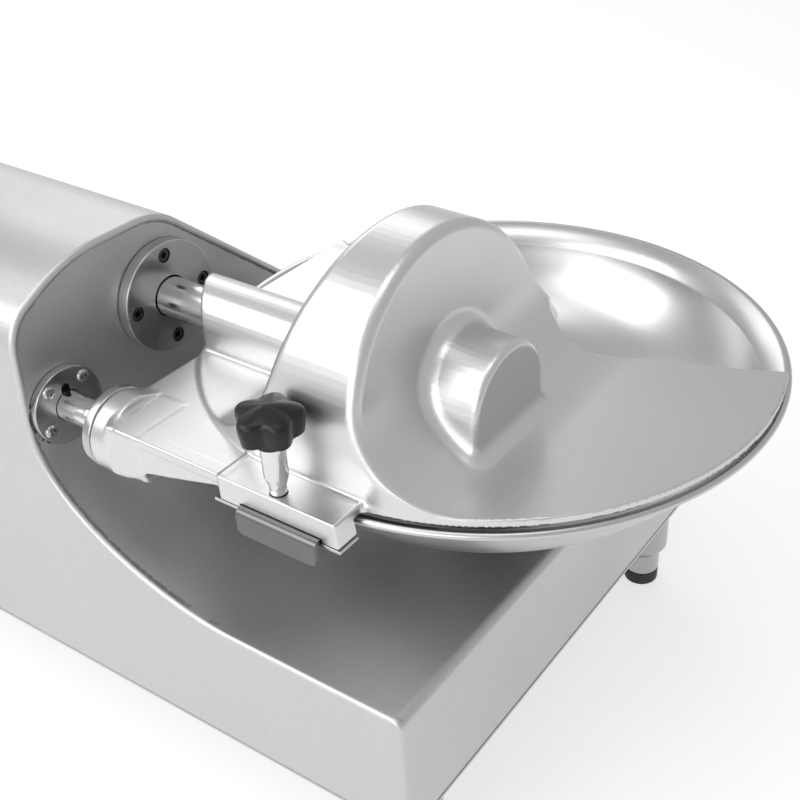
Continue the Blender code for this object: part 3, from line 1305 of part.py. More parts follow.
# Cover casting
def lid_outline():
    """Lid in plan: round in front, with a waisted back edge that rises to the hood."""
    lid_tail_shares = ((0.70, 0.55), (0.40, 0.17), (0.15, 0.0))
    lid_crown_shares = ((1.0, 0.0), (0.62, 0.25), (0.36, 0.75))
    tail = math.atan2(LID_TAIL_Y, LID_TAIL_X)
    front = arc((0, 0), LID_RADIUS, tail, -math.pi - tail, 44)
    back = []
    for side in (-1, 1):
        half = []
        for along_share, rise_share in lid_tail_shares:
            x = LID_WAIST_X + (LID_TAIL_X - LID_WAIST_X) * along_share
            y = LID_WAIST_Y + (LID_TAIL_Y - LID_WAIST_Y) * rise_share
            half.append((side * x, y))
        for along_share, rise_share in lid_crown_shares:
            y = LID_WAIST_Y + (LID_CROWN_Y - LID_WAIST_Y) * rise_share
            half.append((side * LID_WAIST_X * along_share, y))
        back += half if side < 0 else [(0, LID_CROWN_Y)] + half[::-1]
    return front + back


def hood_outline(shrink, floor_z):
    """Hood seen along the shaft: three quarters of a circle and the flare behind."""
    front = arc((SHAFT_Y, HOOD_CENTRE_Z), HOOD_RADIUS, math.pi, HOOD_BACK_ANGLE, HOOD_SEGMENTS)
    outline = [
        (SHAFT_Y - HOOD_RADIUS, floor_z), *front, (HOOD_FLARE_Y, HOOD_FLARE_Z),
        ((HOOD_FLARE_Y + LID_CROWN_Y) / 2, (HOOD_FLARE_Z + LID_TOP_Z) / 2),
        (LID_CROWN_Y, LID_TOP_Z), (LID_CROWN_Y, floor_z),
    ]
    if not shrink:
        return outline
    room = inset(outline, shrink)
    return [(room[0][0], floor_z), *room[1:-1], (room[-1][0], floor_z)]


def hood_solid(shrink, floor_z):
    """Loft the hood between its two leaning end faces."""
    outline = hood_outline(shrink, floor_z)
    made = bmesh.new()
    rings = []
    for edge_x, draft, side in ((HOOD_LEFT_X, LEFT_DRAFT_SHARE, -1), (HOOD_RIGHT_X, RIGHT_DRAFT_SHARE, 1)):
        ring = []
        for y, z in outline:
            x = edge_x - side * (draft * max(z, 0) + shrink)
            ring.append(made.verts.new((x, y, z)))
        rings.append(ring)
    count = len(outline)
    for i in range(count):
        j = (i + 1) % count
        made.faces.new((rings[0][i], rings[0][j], rings[1][j], rings[1][i]))
    made.faces.new(rings[0])
    made.faces.new(rings[1])
    return made


def fillet_outline(shrink, floor_z):
    """Hollow curves from the hood's end faces down to the lid, seen from the front."""
    sides = []
    for side, edge_x, draft in ((-1, HOOD_LEFT_X, LEFT_DRAFT_SHARE), (1, HOOD_RIGHT_X, RIGHT_DRAFT_SHARE)):
        top_x = edge_x - side * (draft * FILLET_TOP_Z + RUNNING_GAP)
        half = []
        for i in range(FILLET_STEPS + 1):
            angle = math.pi / 2 * i / FILLET_STEPS
            across = FILLET_RADIUS * FILLET_LENGTH_SHARE * (1 - math.cos(angle))
            down = (FILLET_TOP_Z - LID_TOP_Z + SEAT_GAP) * math.sin(angle)
            x = top_x + side * (across - shrink * math.cos(angle))
            half.append((x, FILLET_TOP_Z - down - shrink * math.sin(angle)))
        sides.append(half)
    left, right = sides
    base = [(right[-1][0], floor_z), (left[-1][0], floor_z)]
    return right + base + left[::-1]


def boss_outline(shrink, floor_z):
    """Half round top and straight sides, seen along the shaft."""
    radius = BOSS_RADIUS - shrink
    top = arc((SHAFT_Y, BOSS_Z), radius, 0, math.pi, 14)
    return [(SHAFT_Y + radius, floor_z)] + top + [(SHAFT_Y - radius, floor_z)]


def tunnel_outline(shrink, floor_z):
    radius = TUNNEL_RADIUS - shrink
    top = arc(SHAFT_CENTRE, radius, 0, math.pi, 12)
    return [(SHAFT_Y + radius, floor_z)] + top + [(SHAFT_Y - radius, floor_z)]


def arm_outline():
    """Front rib from the lug to the collar, deeper towards the collar, seen from the front."""
    arm_edge_shares = (
        (1.0, 0.23), (0.88, 0.27), (0.68, 0.43), (0.47, 0.60), (0.34, 0.68), (0.22, 0.84), (0.10, 1.0),
    )
    depth = WEB_TOP_Z - ARM_LOW_Z
    length = ARM_RIGHT_X - COLLAR_RIGHT_X
    lower = []
    for along_share, down_share in arm_edge_shares:
        lower.append((COLLAR_RIGHT_X + length * along_share, WEB_TOP_Z - depth * down_share))
    low_end = [(COLLAR_RIGHT_X - OVERRUN, ARM_LOW_Z + OVERRUN)]
    top = [(COLLAR_RIGHT_X - OVERRUN, WEB_TOP_Z), (ARM_RIGHT_X, WEB_TOP_Z)]
    return lower + low_end + top


def web_outline():
    """Flat web between tunnel, collar, arm and lid, in plan."""
    return rounded([
        (WEB_LEFT_X, SHAFT_Y - TUNNEL_RADIUS / 2, 0),
        (WEB_LEFT_X, ARM_BLOCK_BACK_Y, WEB_CORNER),
        (COLLAR_RIGHT_X - OVERRUN, (ARM_BLOCK_BACK_Y + HINGE_Y) / 2, 0),
        (COLLAR_RIGHT_X - OVERRUN, ARM_FRONT_Y + WEB_CORNER, 0),
        (COLLAR_RIGHT_X + 2 * WEB_CORNER, ARM_FRONT_Y, 0),
        (ARM_RIGHT_X, ARM_FRONT_Y, 0),
        (ARM_RIGHT_X, -LID_RADIUS / 2, 0),
        (-LID_RADIUS / 2, SHAFT_Y, 0),
    ])


def make_cover(look, carrier):
    """Cover casting: lid, hood, boss, shaft tunnel, web, arm, hinge collar and lug."""
    floor = LID_TOP_Z - LID_THICKNESS
    root = floor + LID_THICKNESS / 2
    cover = add_object("cover", prism(lid_outline(), "Z", floor, LID_TOP_Z), look, carrier)
    in_lid = inset(lid_outline(), RUNNING_GAP)
    hood = tool_object("cover_hood", hood_solid(0, root), carrier)
    keep(hood, prism(in_lid, "Z", root - OVERRUN, HOOD_CENTRE_Z + HOOD_RADIUS + OVERRUN))
    use_tool(cover, hood, "UNION")
    flank = prism(fillet_outline(0, root), "Y", -RIM_RADIUS, LID_TAIL_Y)
    fillets = tool_object("cover_fillets", flank, carrier)
    keep(fillets, prism(in_lid, "Z", root - OVERRUN, FILLET_TOP_Z + OVERRUN))
    keep(fillets, prism(hood_outline(RUNNING_GAP, root - OVERRUN), "X", -RIM_RADIUS, RIM_RADIUS))
    use_tool(cover, fillets, "UNION")
    join(cover, prism(boss_outline(0, root), "X", 0, BOSS_END_X))
    tunnel = tool_object("cover_tunnel", prism(tunnel_outline(0, root), "X", -RIM_RADIUS, 0), carrier)
    keep(tunnel, disc("Z", (0, 0), TUNNEL_END_RADIUS, root - OVERRUN, SHAFT_Z + 2 * TUNNEL_RADIUS, RIM_TURN))
    use_tool(cover, tunnel, "UNION")
    join(cover, prism(web_outline(), "Z", WEB_BOTTOM_Z, WEB_TOP_Z))
    join(cover, prism(arm_outline(), "Y", ARM_FRONT_Y, ARM_BACK_Y))
    join(cover, arm_block())
    collar_left = HINGE_RING_LEFT_X + HINGE_RING_WIDTH + SEAT_GAP
    join(cover, disc("X", HINGE_CENTRE, HINGE_RING_RADIUS, collar_left, COLLAR_RIGHT_X, FINE_TURN))
    join(cover, block((LUG_LEFT_X, LUG_RIGHT_X), (LUG_FRONT_Y, HINGE_Y), (LUG_BOTTOM_Z, LUG_TOP_Z)))
    hollow_cover(cover, floor, carrier)
    return cover


def use_tool(piece, tool, operation):
    """Combine a piece with a hidden solid that has Booleans of its own."""
    step = piece.modifiers.new(tool.name, "BOOLEAN")
    step.operation = operation
    step.solver = "EXACT"
    step.object = tool


def arm_block():
    """Rounded block between the collar and the arm."""
    outline = rounded([
        (ARM_FRONT_Y, WEB_TOP_Z, ARM_EDGE_RADIUS), (ARM_BLOCK_BACK_Y, WEB_TOP_Z, ARM_EDGE_RADIUS),
        (ARM_BLOCK_BACK_Y, HINGE_Z, ARM_HEEL_RADIUS),
        (HINGE_Y, ARM_LOW_Z - ARM_HEEL_RADIUS, 2 * ARM_HEEL_RADIUS),
        (ARM_FRONT_Y, ARM_LOW_Z, ARM_TOE_RADIUS),
    ], 3)
    return prism(outline, "X", COLLAR_RIGHT_X - OVERRUN, ARM_BLOCK_RIGHT_X)


def hollow_cover(cover, floor, carrier):
    """Hollow the casting from below and cut its bores and slots."""
    open_z = floor - OVERRUN
    room_plan = inset(lid_outline(), CASTING_WALL)
    hood_room = tool_object("cover_hood_room", hood_solid(CASTING_WALL, open_z), carrier)
    keep(hood_room, prism(room_plan, "Z", open_z - OVERRUN, HOOD_CENTRE_Z + HOOD_RADIUS))
    use_tool(cover, hood_room, "DIFFERENCE")
    front = -LID_RADIUS + CASTING_WALL
    flank = prism(fillet_outline(CASTING_WALL, open_z), "Y", front, LID_CROWN_Y - CASTING_WALL)
    fillets = tool_object("cover_fillet_room", flank, carrier)
    keep(fillets, prism(room_plan, "Z", open_z - OVERRUN, FILLET_TOP_Z))
    room_outline = hood_outline(CASTING_WALL + RUNNING_GAP, open_z - OVERRUN)
    keep(fillets, prism(room_outline, "X", -RIM_RADIUS, RIM_RADIUS))
    use_tool(cover, fillets, "DIFFERENCE")
    cut(cover, prism(boss_outline(CASTING_WALL, open_z), "X", 0, BOSS_END_X - CASTING_WALL))
    cut(cover, prism(tunnel_outline(TUNNEL_WALL, WEB_BOTTOM_Z - OVERRUN), "X", -RIM_RADIUS, 0))
    cut(cover, rim_room())
    collar_left = HINGE_RING_LEFT_X + HINGE_RING_WIDTH
    bore_end = COLLAR_RIGHT_X + OVERRUN + SEAT_GAP
    bore = HINGE_SHAFT_RADIUS + SEAT_GAP
    cut(cover, disc("X", HINGE_CENTRE, bore, collar_left - OVERRUN, bore_end, FINE_TURN))
    cut(cover, block(
        (WIPER_LEFT_X - RUNNING_GAP, WIPER_RIGHT_X + RUNNING_GAP), (LUG_FRONT_Y - OVERRUN, HINGE_Y),
        (LUG_BOTTOM_Z - OVERRUN, WIPER_TOP_Z + SEAT_GAP),
    ))
    knob_centre = (KNOB_X, KNOB_Y)
    pocket_top = WIPER_TOP_Z + 2 * SEAT_GAP + PAD_HEIGHT + CLAMP_LIFT + SEAT_GAP
    cut(cover, disc("Z", knob_centre, PAD_RADIUS + SEAT_GAP, LUG_BOTTOM_Z, pocket_top, HOLE_TURN))
    cut(cover, disc("Z", knob_centre, NECK_RADIUS + SEAT_GAP, LUG_BOTTOM_Z, LUG_TOP_Z + OVERRUN, HOLE_TURN))


def rim_room():
    """Ring-shaped room for the bowl's rim below web, arm and lug, a little higher over the rim itself."""
    low = LUG_BOTTOM_Z * 5
    web_room = WEB_BOTTOM_Z + SEAT_GAP
    profile = [
        (LID_RADIUS / 2, web_room), (RIM_REBATE_RADIUS, web_room), (RIM_REBATE_RADIUS, LUG_UNDERSIDE_Z),
        (RIM_ROOM_RADIUS, LUG_UNDERSIDE_Z), (RIM_ROOM_RADIUS, low), (LID_RADIUS / 2, low),
    ]
    return turned(profile, "Z", BOWL_LINE, RIM_TURN)


# Knob and rim wiper
def make_clamp_screw(look, carrier):
    """Screw with a polished sleeve and a waisted neck."""
    low = WIPER_TOP_Z + 3 * SEAT_GAP + PAD_HEIGHT
    profile = [
        (0, KNOB_HUB_Z - SEAT_GAP), (SLEEVE_RADIUS, KNOB_HUB_Z - SEAT_GAP), (SLEEVE_RADIUS, SLEEVE_LOW_Z),
        (NECK_RADIUS, NECK_TOP_Z), (THREAD_RADIUS, LUG_TOP_Z), (THREAD_RADIUS, low), (0, low),
    ]
    return add_object("clamp_screw", turned(profile, "Z", KNOB_LINE, HOLE_TURN), look, carrier)


def make_knob(look, carrier):
    """Five-lobed knob with a round hub below and a crowned top."""
    def lobed(scale):
        points = []
        for i in range(KNOB_STEPS):
            angle = FULL_TURN * i / KNOB_STEPS
            radius = (KNOB_RADIUS + KNOB_LOBE_HEIGHT * math.cos(KNOB_LOBES * angle)) * scale
            points.append(polar((KNOB_X, KNOB_Y), radius, KNOB_PHASE + angle))
        return points

    level_shares = ((0.86, 0.0), (0.92, 0.08), (1.0, 0.5), (1.0, 0.68), (0.9, 0.83), (0.6, 0.96), (0.2, 1.0))
    rise = KNOB_TOP_Z - KNOB_SKIRT_Z
    heights = [KNOB_SKIRT_Z + rise * height_share for _, height_share in level_shares]
    body = loft([lobed(width_share) for width_share, _ in level_shares], "Z", heights)
    knob = add_object("knob", body, look, carrier)
    join(knob, disc("Z", (KNOB_X, KNOB_Y), KNOB_HUB_RADIUS, KNOB_HUB_Z, KNOB_SKIRT_Z + OVERRUN, FINE_TURN))
    return knob


def make_clamp_pad(look, carrier):
    """Pad under the screw that presses on the rim wiper."""
    low = WIPER_TOP_Z + 2 * SEAT_GAP
    pad = disc("Z", (KNOB_X, KNOB_Y), PAD_RADIUS, low, low + PAD_HEIGHT, HOLE_TURN)
    return add_object("clamp_pad", pad, look, carrier)


def make_rim_wiper(look, carrier):
    """Bent plate whose inner edge follows the bowl's rim and whose lip is the finger grip."""
    bend = (WIPER_FRONT_Y + WIPER_BEND, WIPER_TOP_Z - WIPER_BEND)
    outer = arc(bend, WIPER_BEND, math.pi / 2, math.pi, 5)
    inner = arc(bend, WIPER_BEND - WIPER_THICKNESS, math.pi, math.pi / 2, 5)
    back = HINGE_Y - SEAT_GAP
    outline = (
        [(back, WIPER_TOP_Z)] + outer + [(WIPER_FRONT_Y, WIPER_BOTTOM_Z)]
        + [(WIPER_FRONT_Y + WIPER_THICKNESS, WIPER_BOTTOM_Z)] + inner
        + [(back, WIPER_TOP_Z - WIPER_THICKNESS)]
    )
    plate = add_object("rim_wiper", prism(outline, "X", WIPER_LEFT_X, WIPER_RIGHT_X), look, carrier)
    face = rounded([
        (WIPER_LEFT_X, WIPER_TOP_Z + OVERRUN, 0), (WIPER_LEFT_X, WIPER_BOTTOM_Z, WIPER_CORNER),
        (WIPER_RIGHT_X, WIPER_BOTTOM_Z, WIPER_CORNER), (WIPER_RIGHT_X, WIPER_TOP_Z + OVERRUN, 0),
    ])
    keep(plate, prism(face, "Y", WIPER_FRONT_Y - OVERRUN, back + OVERRUN))
    cut(plate, disc("Z", (0, 0), RIM_RADIUS + WIPER_RIM_GAP, LUG_BOTTOM_Z * 2, LUG_TOP_Z, RIM_TURN))
    return plate


def make_keeper(look, carrier):
    """Strip under the lug that holds the rim wiper in its slot."""
    top = LUG_BOTTOM_Z - SEAT_GAP
    strip = add_object("wiper_keeper", block(
        (LUG_LEFT_X - KEEPER_OVERHANG, LUG_RIGHT_X + KEEPER_OVERHANG / 2), (LUG_FRONT_Y, HINGE_Y),
        (top - KEEPER_THICKNESS, top),
    ), look, carrier)
    cut(strip, disc("Z", (0, 0), RIM_ROOM_RADIUS + RUNNING_GAP, 2 * LUG_BOTTOM_Z, LUG_TOP_Z, RIM_TURN))
    return strip


# Switches and gland
def make_switch_plate(look, carrier):
    """Plate with a raised collar round each button."""
    half_width = SWITCH_PLATE_WIDTH / 2
    half_height = SWITCH_PLATE_HEIGHT / 2
    outline = rounded([
        (SWITCH_X - half_width, SWITCH_Z - half_height, SWITCH_PLATE_CORNER),
        (SWITCH_X + half_width, SWITCH_Z - half_height, SWITCH_PLATE_CORNER),
        (SWITCH_X + half_width, SWITCH_Z + half_height, SWITCH_PLATE_CORNER),
        (SWITCH_X - half_width, SWITCH_Z + half_height, SWITCH_PLATE_CORNER),
    ])
    back = FRONT_Y - SEAT_GAP
    front = FRONT_Y - SWITCH_PLATE_THICKNESS
    plate = add_object("switch_plate", prism(outline, "Y", front, back), look, carrier)
    collars = bmesh.new()
    wells = bmesh.new()
    for side in (-1, 1):
        centre = (SWITCH_X + side * BUTTON_SPACING / 2, SWITCH_Z)
        reach = BUTTON_RADIUS + BUTTON_COLLAR_WALL
        disc("Y", centre, reach, front - BUTTON_COLLAR_HEIGHT, back - SEAT_GAP, FINE_TURN, collars)
        bore = BUTTON_RADIUS - OVERRUN
        disc("Y", centre, bore, front - 2 * BUTTON_HEIGHT, FRONT_Y + OVERRUN, HOLE_TURN, wells)
    join(plate, collars)
    cut(plate, wells)
    return plate


def make_button(name, side, look, carrier):
    """Push button with a guide stem behind the plate."""
    centre = (SWITCH_X + side * BUTTON_SPACING / 2, SWITCH_Z)
    line = Vector((centre[0], 0, centre[1]))
    radius = BUTTON_RADIUS - OVERRUN - SEAT_GAP
    front = BUTTON_FRONT_Y
    rounding = BUTTON_HEIGHT / 6
    back = FRONT_Y + BUTTON_STEM_LENGTH
    profile = [
        (0, front), (radius - rounding, front), (radius, front + rounding), (radius, FRONT_Y),
        (BUTTON_STEM_RADIUS, FRONT_Y), (BUTTON_STEM_RADIUS, back), (0, back),
    ]
    return add_object(name, turned(profile, "Y", line, PLAIN_TURN), look, carrier)


def make_cable_gland(look, carrier):
    """Gland on the back wall, with a hexagon nut and a bore for the cord."""
    start = BACK_Y + SEAT_GAP
    line = Vector((GLAND_X, 0, GLAND_Z))
    inner = BACK_Y - 2 * SHELL_WALL
    profile = [
        (0, start + GLAND_LENGTH), (GLAND_MOUTH_RADIUS, start + GLAND_LENGTH),
        (GLAND_RADIUS, start + GLAND_LENGTH - GLAND_TAPER), (GLAND_RADIUS, inner), (0, inner),
    ]
    gland = add_object("cable_gland", turned(profile, "Y", line, SMALL_TURN), look, carrier)
    nut = disc("Y", (GLAND_X, GLAND_Z), GLAND_NUT_RADIUS, start, start + GLAND_NUT_LENGTH, 6)
    join(gland, nut)
    outer = start + GLAND_LENGTH + OVERRUN
    cut(gland, disc("Y", (GLAND_X, GLAND_Z), GLAND_BORE, inner - OVERRUN, outer, HOLE_TURN))
    return gland


def build():
    """Assemble the machine under one empty that stands it on its feet."""
    clear_scene()
    steel = finish("brushed_steel", (0.62, 0.63, 0.64), 0.30, 1)
    cast = finish("cast_aluminium", (0.78, 0.79, 0.80), 0.28, 1)
    bright = finish("polished_steel", (0.70, 0.71, 0.72), 0.15, 1)
    black = finish("black_plastic", (0.02, 0.02, 0.022), 0.35, 0)
    rubber = finish("black_rubber", (0.03, 0.03, 0.03), 0.75, 0)
    grey = finish("grey_iron", (0.22, 0.23, 0.24), 0.6, 0.6)
    paint = finish("motor_paint", (0.16, 0.20, 0.26), 0.45, 0)
    green = finish("green_plastic", (0.02, 0.30, 0.08), 0.4, 0)
    red = finish("red_plastic", (0.55, 0.02, 0.02), 0.4, 0)

    machine_x = -(HOUSING_LEFT_X + RIM_RADIUS) / 2
    machine_y = -(MACHINE_FRONT_Y + RIM_RADIUS) / 2
    machine = empty_at("machine", Vector((machine_x, machine_y, -FOOT_BOTTOM_Z)))
    knife = empty_at("knife_axis", SHAFT_LINE, machine)
    motor = empty_at("motor_axis", MOTOR_LINE, machine)
    worm = empty_at("worm_axis", WORM_LINE, machine)
    bowl = empty_at("bowl_axis", BOWL_LINE, machine)
    hinge = empty_at("cover_axis", HINGE_LINE, machine)
    screw = empty_at("knob_axis", KNOB_LINE, machine)
    wiper = empty_at("wiper_slide", Vector((0, WIPER_FRONT_Y, WIPER_TOP_Z)), machine)
    start_centre = Vector((SWITCH_X - BUTTON_SPACING / 2, FRONT_Y, SWITCH_Z))
    stop_centre = Vector((SWITCH_X + BUTTON_SPACING / 2, FRONT_Y, SWITCH_Z))
    start = empty_at("start_button_slide", start_centre, machine)
    stop = empty_at("stop_button_slide", stop_centre, machine)

    make_body_shell(cast, machine)
    make_end_cover(steel, machine)
    make_bottom_plate(steel, machine)
    places = [(x, y) for x in (LEG_LEFT_X, LEG_X) for y in (LEG_FRONT_Y, LEG_BACK_Y)]
    for index, (x, y) in enumerate(places, 1):
        make_leg(index, x, y, steel, machine)
        make_rubber_foot(index, x, y, rubber, machine)
    make_shaft_flange(steel, machine)
    make_bearing_housing(grey, machine)
    make_knife_bearings(bright, machine)
    make_shaft_seal(rubber, machine)

    make_knife_shaft(bright, knife)
    make_knife_hub(steel, knife)
    make_knives(bright, knife)
    make_knife_nut(steel, knife)
    make_knife_pulley(grey, knife)

    make_bowl(bright, bowl)
    make_bowl_nut(bright, bowl)
    make_drive_plate(steel, bowl)
    make_spindle(bright, bowl)
    make_worm_wheel(grey, bowl)
    make_spindle_housing(grey, machine)
    make_spindle_bearings(bright, machine)
    make_worm_shaft(steel, worm)
    make_pulley("worm_pulley", WORM_LINE, BOWL_PULLEY_RADIUS, BELT_TWO_X, WORM_SHAFT_RADIUS, grey, worm)
    make_worm_bracket(grey, machine)

    make_bulkhead(steel, machine)
    make_motor_body(paint, machine)
    make_motor_shaft(steel, motor)
    make_motor_fan(black, motor)
    make_pulley(
        "motor_pulley", MOTOR_LINE, DRIVE_PULLEY_RADIUS, BELT_ONE_X, MOTOR_SHAFT_RADIUS, grey, motor,
    )
    make_belt(
        "knife_belt", BELT_ONE_X, SHAFT_CENTRE, DRIVE_PULLEY_RADIUS, MOTOR_CENTRE, DRIVE_PULLEY_RADIUS,
        rubber, machine,
    )
    make_belt(
        "bowl_belt", BELT_TWO_X, SHAFT_CENTRE, BOWL_PULLEY_SMALL_RADIUS, WORM_CENTRE, BOWL_PULLEY_RADIUS,
        rubber, machine,
    )

    make_hinge_flange(steel, machine)
    make_hinge_sleeve(grey, machine)
    make_reed_switch(black, machine)
    make_hinge_shaft(bright, hinge)
    make_hinge_pin(steel, hinge)
    make_hinge_ring(steel, hinge)
    make_magnet_collar(grey, hinge)
    make_cover(cast, hinge)
    make_keeper(steel, hinge)

    make_clamp_screw(bright, screw)
    make_knob(black, screw)
    make_clamp_pad(steel, screw)
    make_rim_wiper(steel, wiper)

    make_switch_plate(black, machine)
    make_button("start_button", -1, green, start)
    make_button("stop_button", 1, red, stop)
    make_cable_gland(black, machine)


build()
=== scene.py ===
"""Looks of the bench meat bowl cutter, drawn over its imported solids."""
import math

import bmesh
import bpy
import numpy as np
from mathutils import Matrix, Vector


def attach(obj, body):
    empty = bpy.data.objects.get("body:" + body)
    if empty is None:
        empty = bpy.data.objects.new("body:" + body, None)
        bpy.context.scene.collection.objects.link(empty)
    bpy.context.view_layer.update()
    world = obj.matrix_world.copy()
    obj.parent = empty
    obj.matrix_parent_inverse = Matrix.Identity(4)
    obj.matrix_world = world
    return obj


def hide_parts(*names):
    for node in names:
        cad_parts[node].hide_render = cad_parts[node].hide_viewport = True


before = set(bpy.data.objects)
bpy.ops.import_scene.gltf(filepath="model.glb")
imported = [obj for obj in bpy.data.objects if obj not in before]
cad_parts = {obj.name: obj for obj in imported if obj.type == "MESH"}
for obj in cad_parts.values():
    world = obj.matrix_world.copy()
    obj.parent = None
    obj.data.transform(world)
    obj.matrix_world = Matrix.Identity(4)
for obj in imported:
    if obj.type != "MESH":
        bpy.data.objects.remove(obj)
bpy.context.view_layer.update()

# The machine's own frame: millimetres, bowl axis at x = y = 0, rim top at z = 0
ORIGIN = np.array([160.0, 15.0, 296.0])
# Shaft and hinge axes as (y, z), knob axis as (x, y)
SHAFT = (-93.0, 22.5)
HINGE = (-190.0, -14.5)
KNOB = (-10, -209.5)

# Bowl and cover
CHANNEL_LINE = (93, 22.5)
CHANNEL_RADIUS = 93.3
BOWL_WALL = 3.0
BEAD_LINE = (197.3, -2.6)
BEAD_RADIUS = 2.6
HOOD_LINE = (-93, 32.5)
HOOD_RADIUS = 98.4
HOOD_RIGHT, HOOD_RIGHT_DRAFT = 37.7, 0.107
HOOD_LEFT, HOOD_LEFT_DRAFT = -48.6, 0.24
FLANK_FILLET = 58
HOOD_EDGE = 6.5
BOSS_LINE = (-93, 33)
BOSS_RADIUS = 38
BOSS_MIDDLE, BOSS_HALF = 30, 41
BOSS_DRAFT = 0.025
TUNNEL_RADIUS = 24.5
TUNNEL_BORE = 20.5
TUNNEL_REACH = 194
LID_RADIUS = 196.6
LID_TOP = 7.2
LID_UNDERSIDE = 3.0
CAST_WALL = 4.4
RIM_ROOM_RADII = (98, 203.5)
LUG_FRONT = -217
HINGE_SPAN = 8.6
HINGE_RADIUS = 27.4
KNOB_BORE = 4.8
PAD_POCKET, PAD_POCKET_TOP = 6.1, 1.3

# Housing
HOUSING_LEFT = -520
COVER_SEAT = -517.3
END_FACE = -214.5
FRONT = -221
FLANGE_SEAT = -215.6
SHAFT_FLANGE_FACE = -207
HINGE_FLANGE_FACE = -210
BASE_TOP = -122
BASE_RIGHT = 75
BASE_BOTTOM = -223
COVE_WIDTH, COVE_HEIGHT = 154.5, 97
COVE_TOP = (-60, -25)
COVE_POWER = 1.8
LIP_WIDTH, LIP_DEPTH = 5.2, 1.5


# Camera
camera = bpy.data.objects.new("photo_camera", bpy.data.cameras.new("photo_camera"))
bpy.context.scene.collection.objects.link(camera)
camera.location = (0.5465, -0.5802, 0.7274)
camera.rotation_euler = (math.radians(55.696), 0, math.radians(31.928))
camera.data.sensor_width = 36
camera.data.lens = 54.58
camera.data.shift_x = -0.1433
camera.data.shift_y = 0.0124
camera.data.clip_start = 0.01
bpy.context.scene.camera = camera
bpy.context.scene.view_settings.view_transform = "Standard"


# Materials
def shader(name, colour, metallic, roughness):
    """New material with its Principled shader, and the object-space texture coordinate."""
    made = bpy.data.materials.new(name)
    made.use_nodes = True
    tree = made.node_tree
    bsdf = tree.nodes["Principled BSDF"]
    bsdf.inputs["Base Color"].default_value = (*colour, 1)
    bsdf.inputs["Metallic"].default_value = metallic
    bsdf.inputs["Roughness"].default_value = roughness
    return made, tree, bsdf, tree.nodes.new("ShaderNodeTexCoord").outputs["Object"]


def noise(tree, coords, scale, stretch=(1, 1, 1), detail=4.0, rough=0.6):
    """Noise factor, with the coordinates stretched along some axes."""
    place = tree.nodes.new("ShaderNodeMapping")
    place.inputs["Scale"].default_value = stretch
    tree.links.new(coords, place.inputs["Vector"])
    made = tree.nodes.new("ShaderNodeTexNoise")
    made.inputs["Scale"].default_value = scale
    made.inputs["Detail"].default_value = detail
    made.inputs["Roughness"].default_value = rough
    tree.links.new(place.outputs["Vector"], made.inputs["Vector"])
    return made.outputs["Fac"]


def spread(tree, factor, low, high, start=0.3, end=0.7):
    """Map a noise factor to a span of values."""
    made = tree.nodes.new("ShaderNodeMapRange")
    made.inputs["From Min"].default_value = start
    made.inputs["From Max"].default_value = end
    made.inputs["To Min"].default_value = low
    made.inputs["To Max"].default_value = high
    tree.links.new(factor, made.inputs["Value"])
    return made.outputs["Result"]


def tint(tree, factor, dark, light):
    """Colour between two tones by a factor."""
    made = tree.nodes.new("ShaderNodeMix")
    made.data_type = "RGBA"
    made.inputs["A"].default_value = (*dark, 1)
    made.inputs["B"].default_value = (*light, 1)
    tree.links.new(factor, made.inputs["Factor"])
    return made.outputs["Result"]


def bump(tree, bsdf, factor, depth, strength=1.0):
    """Surface relief in metres."""
    made = tree.nodes.new("ShaderNodeBump")
    made.inputs["Strength"].default_value = strength
    made.inputs["Distance"].default_value = depth
    tree.links.new(factor, made.inputs["Height"])
    tree.links.new(made.outputs["Normal"], bsdf.inputs["Normal"])


def metal(name, colour, low, high, grain, stretch, depth, patch=9.0, shade=0.93):
    """Metal with grain along one direction, cloudy patches and fine relief."""
    made, tree, bsdf, coords = shader(name, colour, 1.0, (low + high) / 2)
    fine = noise(tree, coords, grain, stretch, 5.0, 0.65)
    cloud = noise(tree, coords, patch, (1, 1, 1), 3.0, 0.5)
    tree.links.new(spread(tree, cloud, low, high), bsdf.inputs["Roughness"])
    dark = tuple(channel * shade for channel in colour)
    tree.links.new(tint(tree, spread(tree, fine, 0, 1), dark, colour), bsdf.inputs["Base Color"])
    bump(tree, bsdf, fine, depth)
    return made


def plastic(name, colour, roughness, grain, depth, coat=0.0, specular=0.5):
    """Plastic, rubber or paint with fine grain and cloudy gloss."""
    made, tree, bsdf, coords = shader(name, colour, 0.0, roughness)
    fine = noise(tree, coords, grain)
    cloud = noise(tree, coords, grain / 20)
    tree.links.new(spread(tree, cloud, roughness * 0.8, roughness * 1.2), bsdf.inputs["Roughness"])
    light = tuple(min(1, channel * 1.25 + 0.004) for channel in colour)
    tree.links.new(tint(tree, spread(tree, fine, 0, 1), colour, light), bsdf.inputs["Base Color"])
    bump(tree, bsdf, fine, depth)
    bsdf.inputs["Specular IOR Level"].default_value = specular
    bsdf.inputs["Coat Weight"].default_value = coat
    bsdf.inputs["Coat Roughness"].default_value = 0.08
    return made


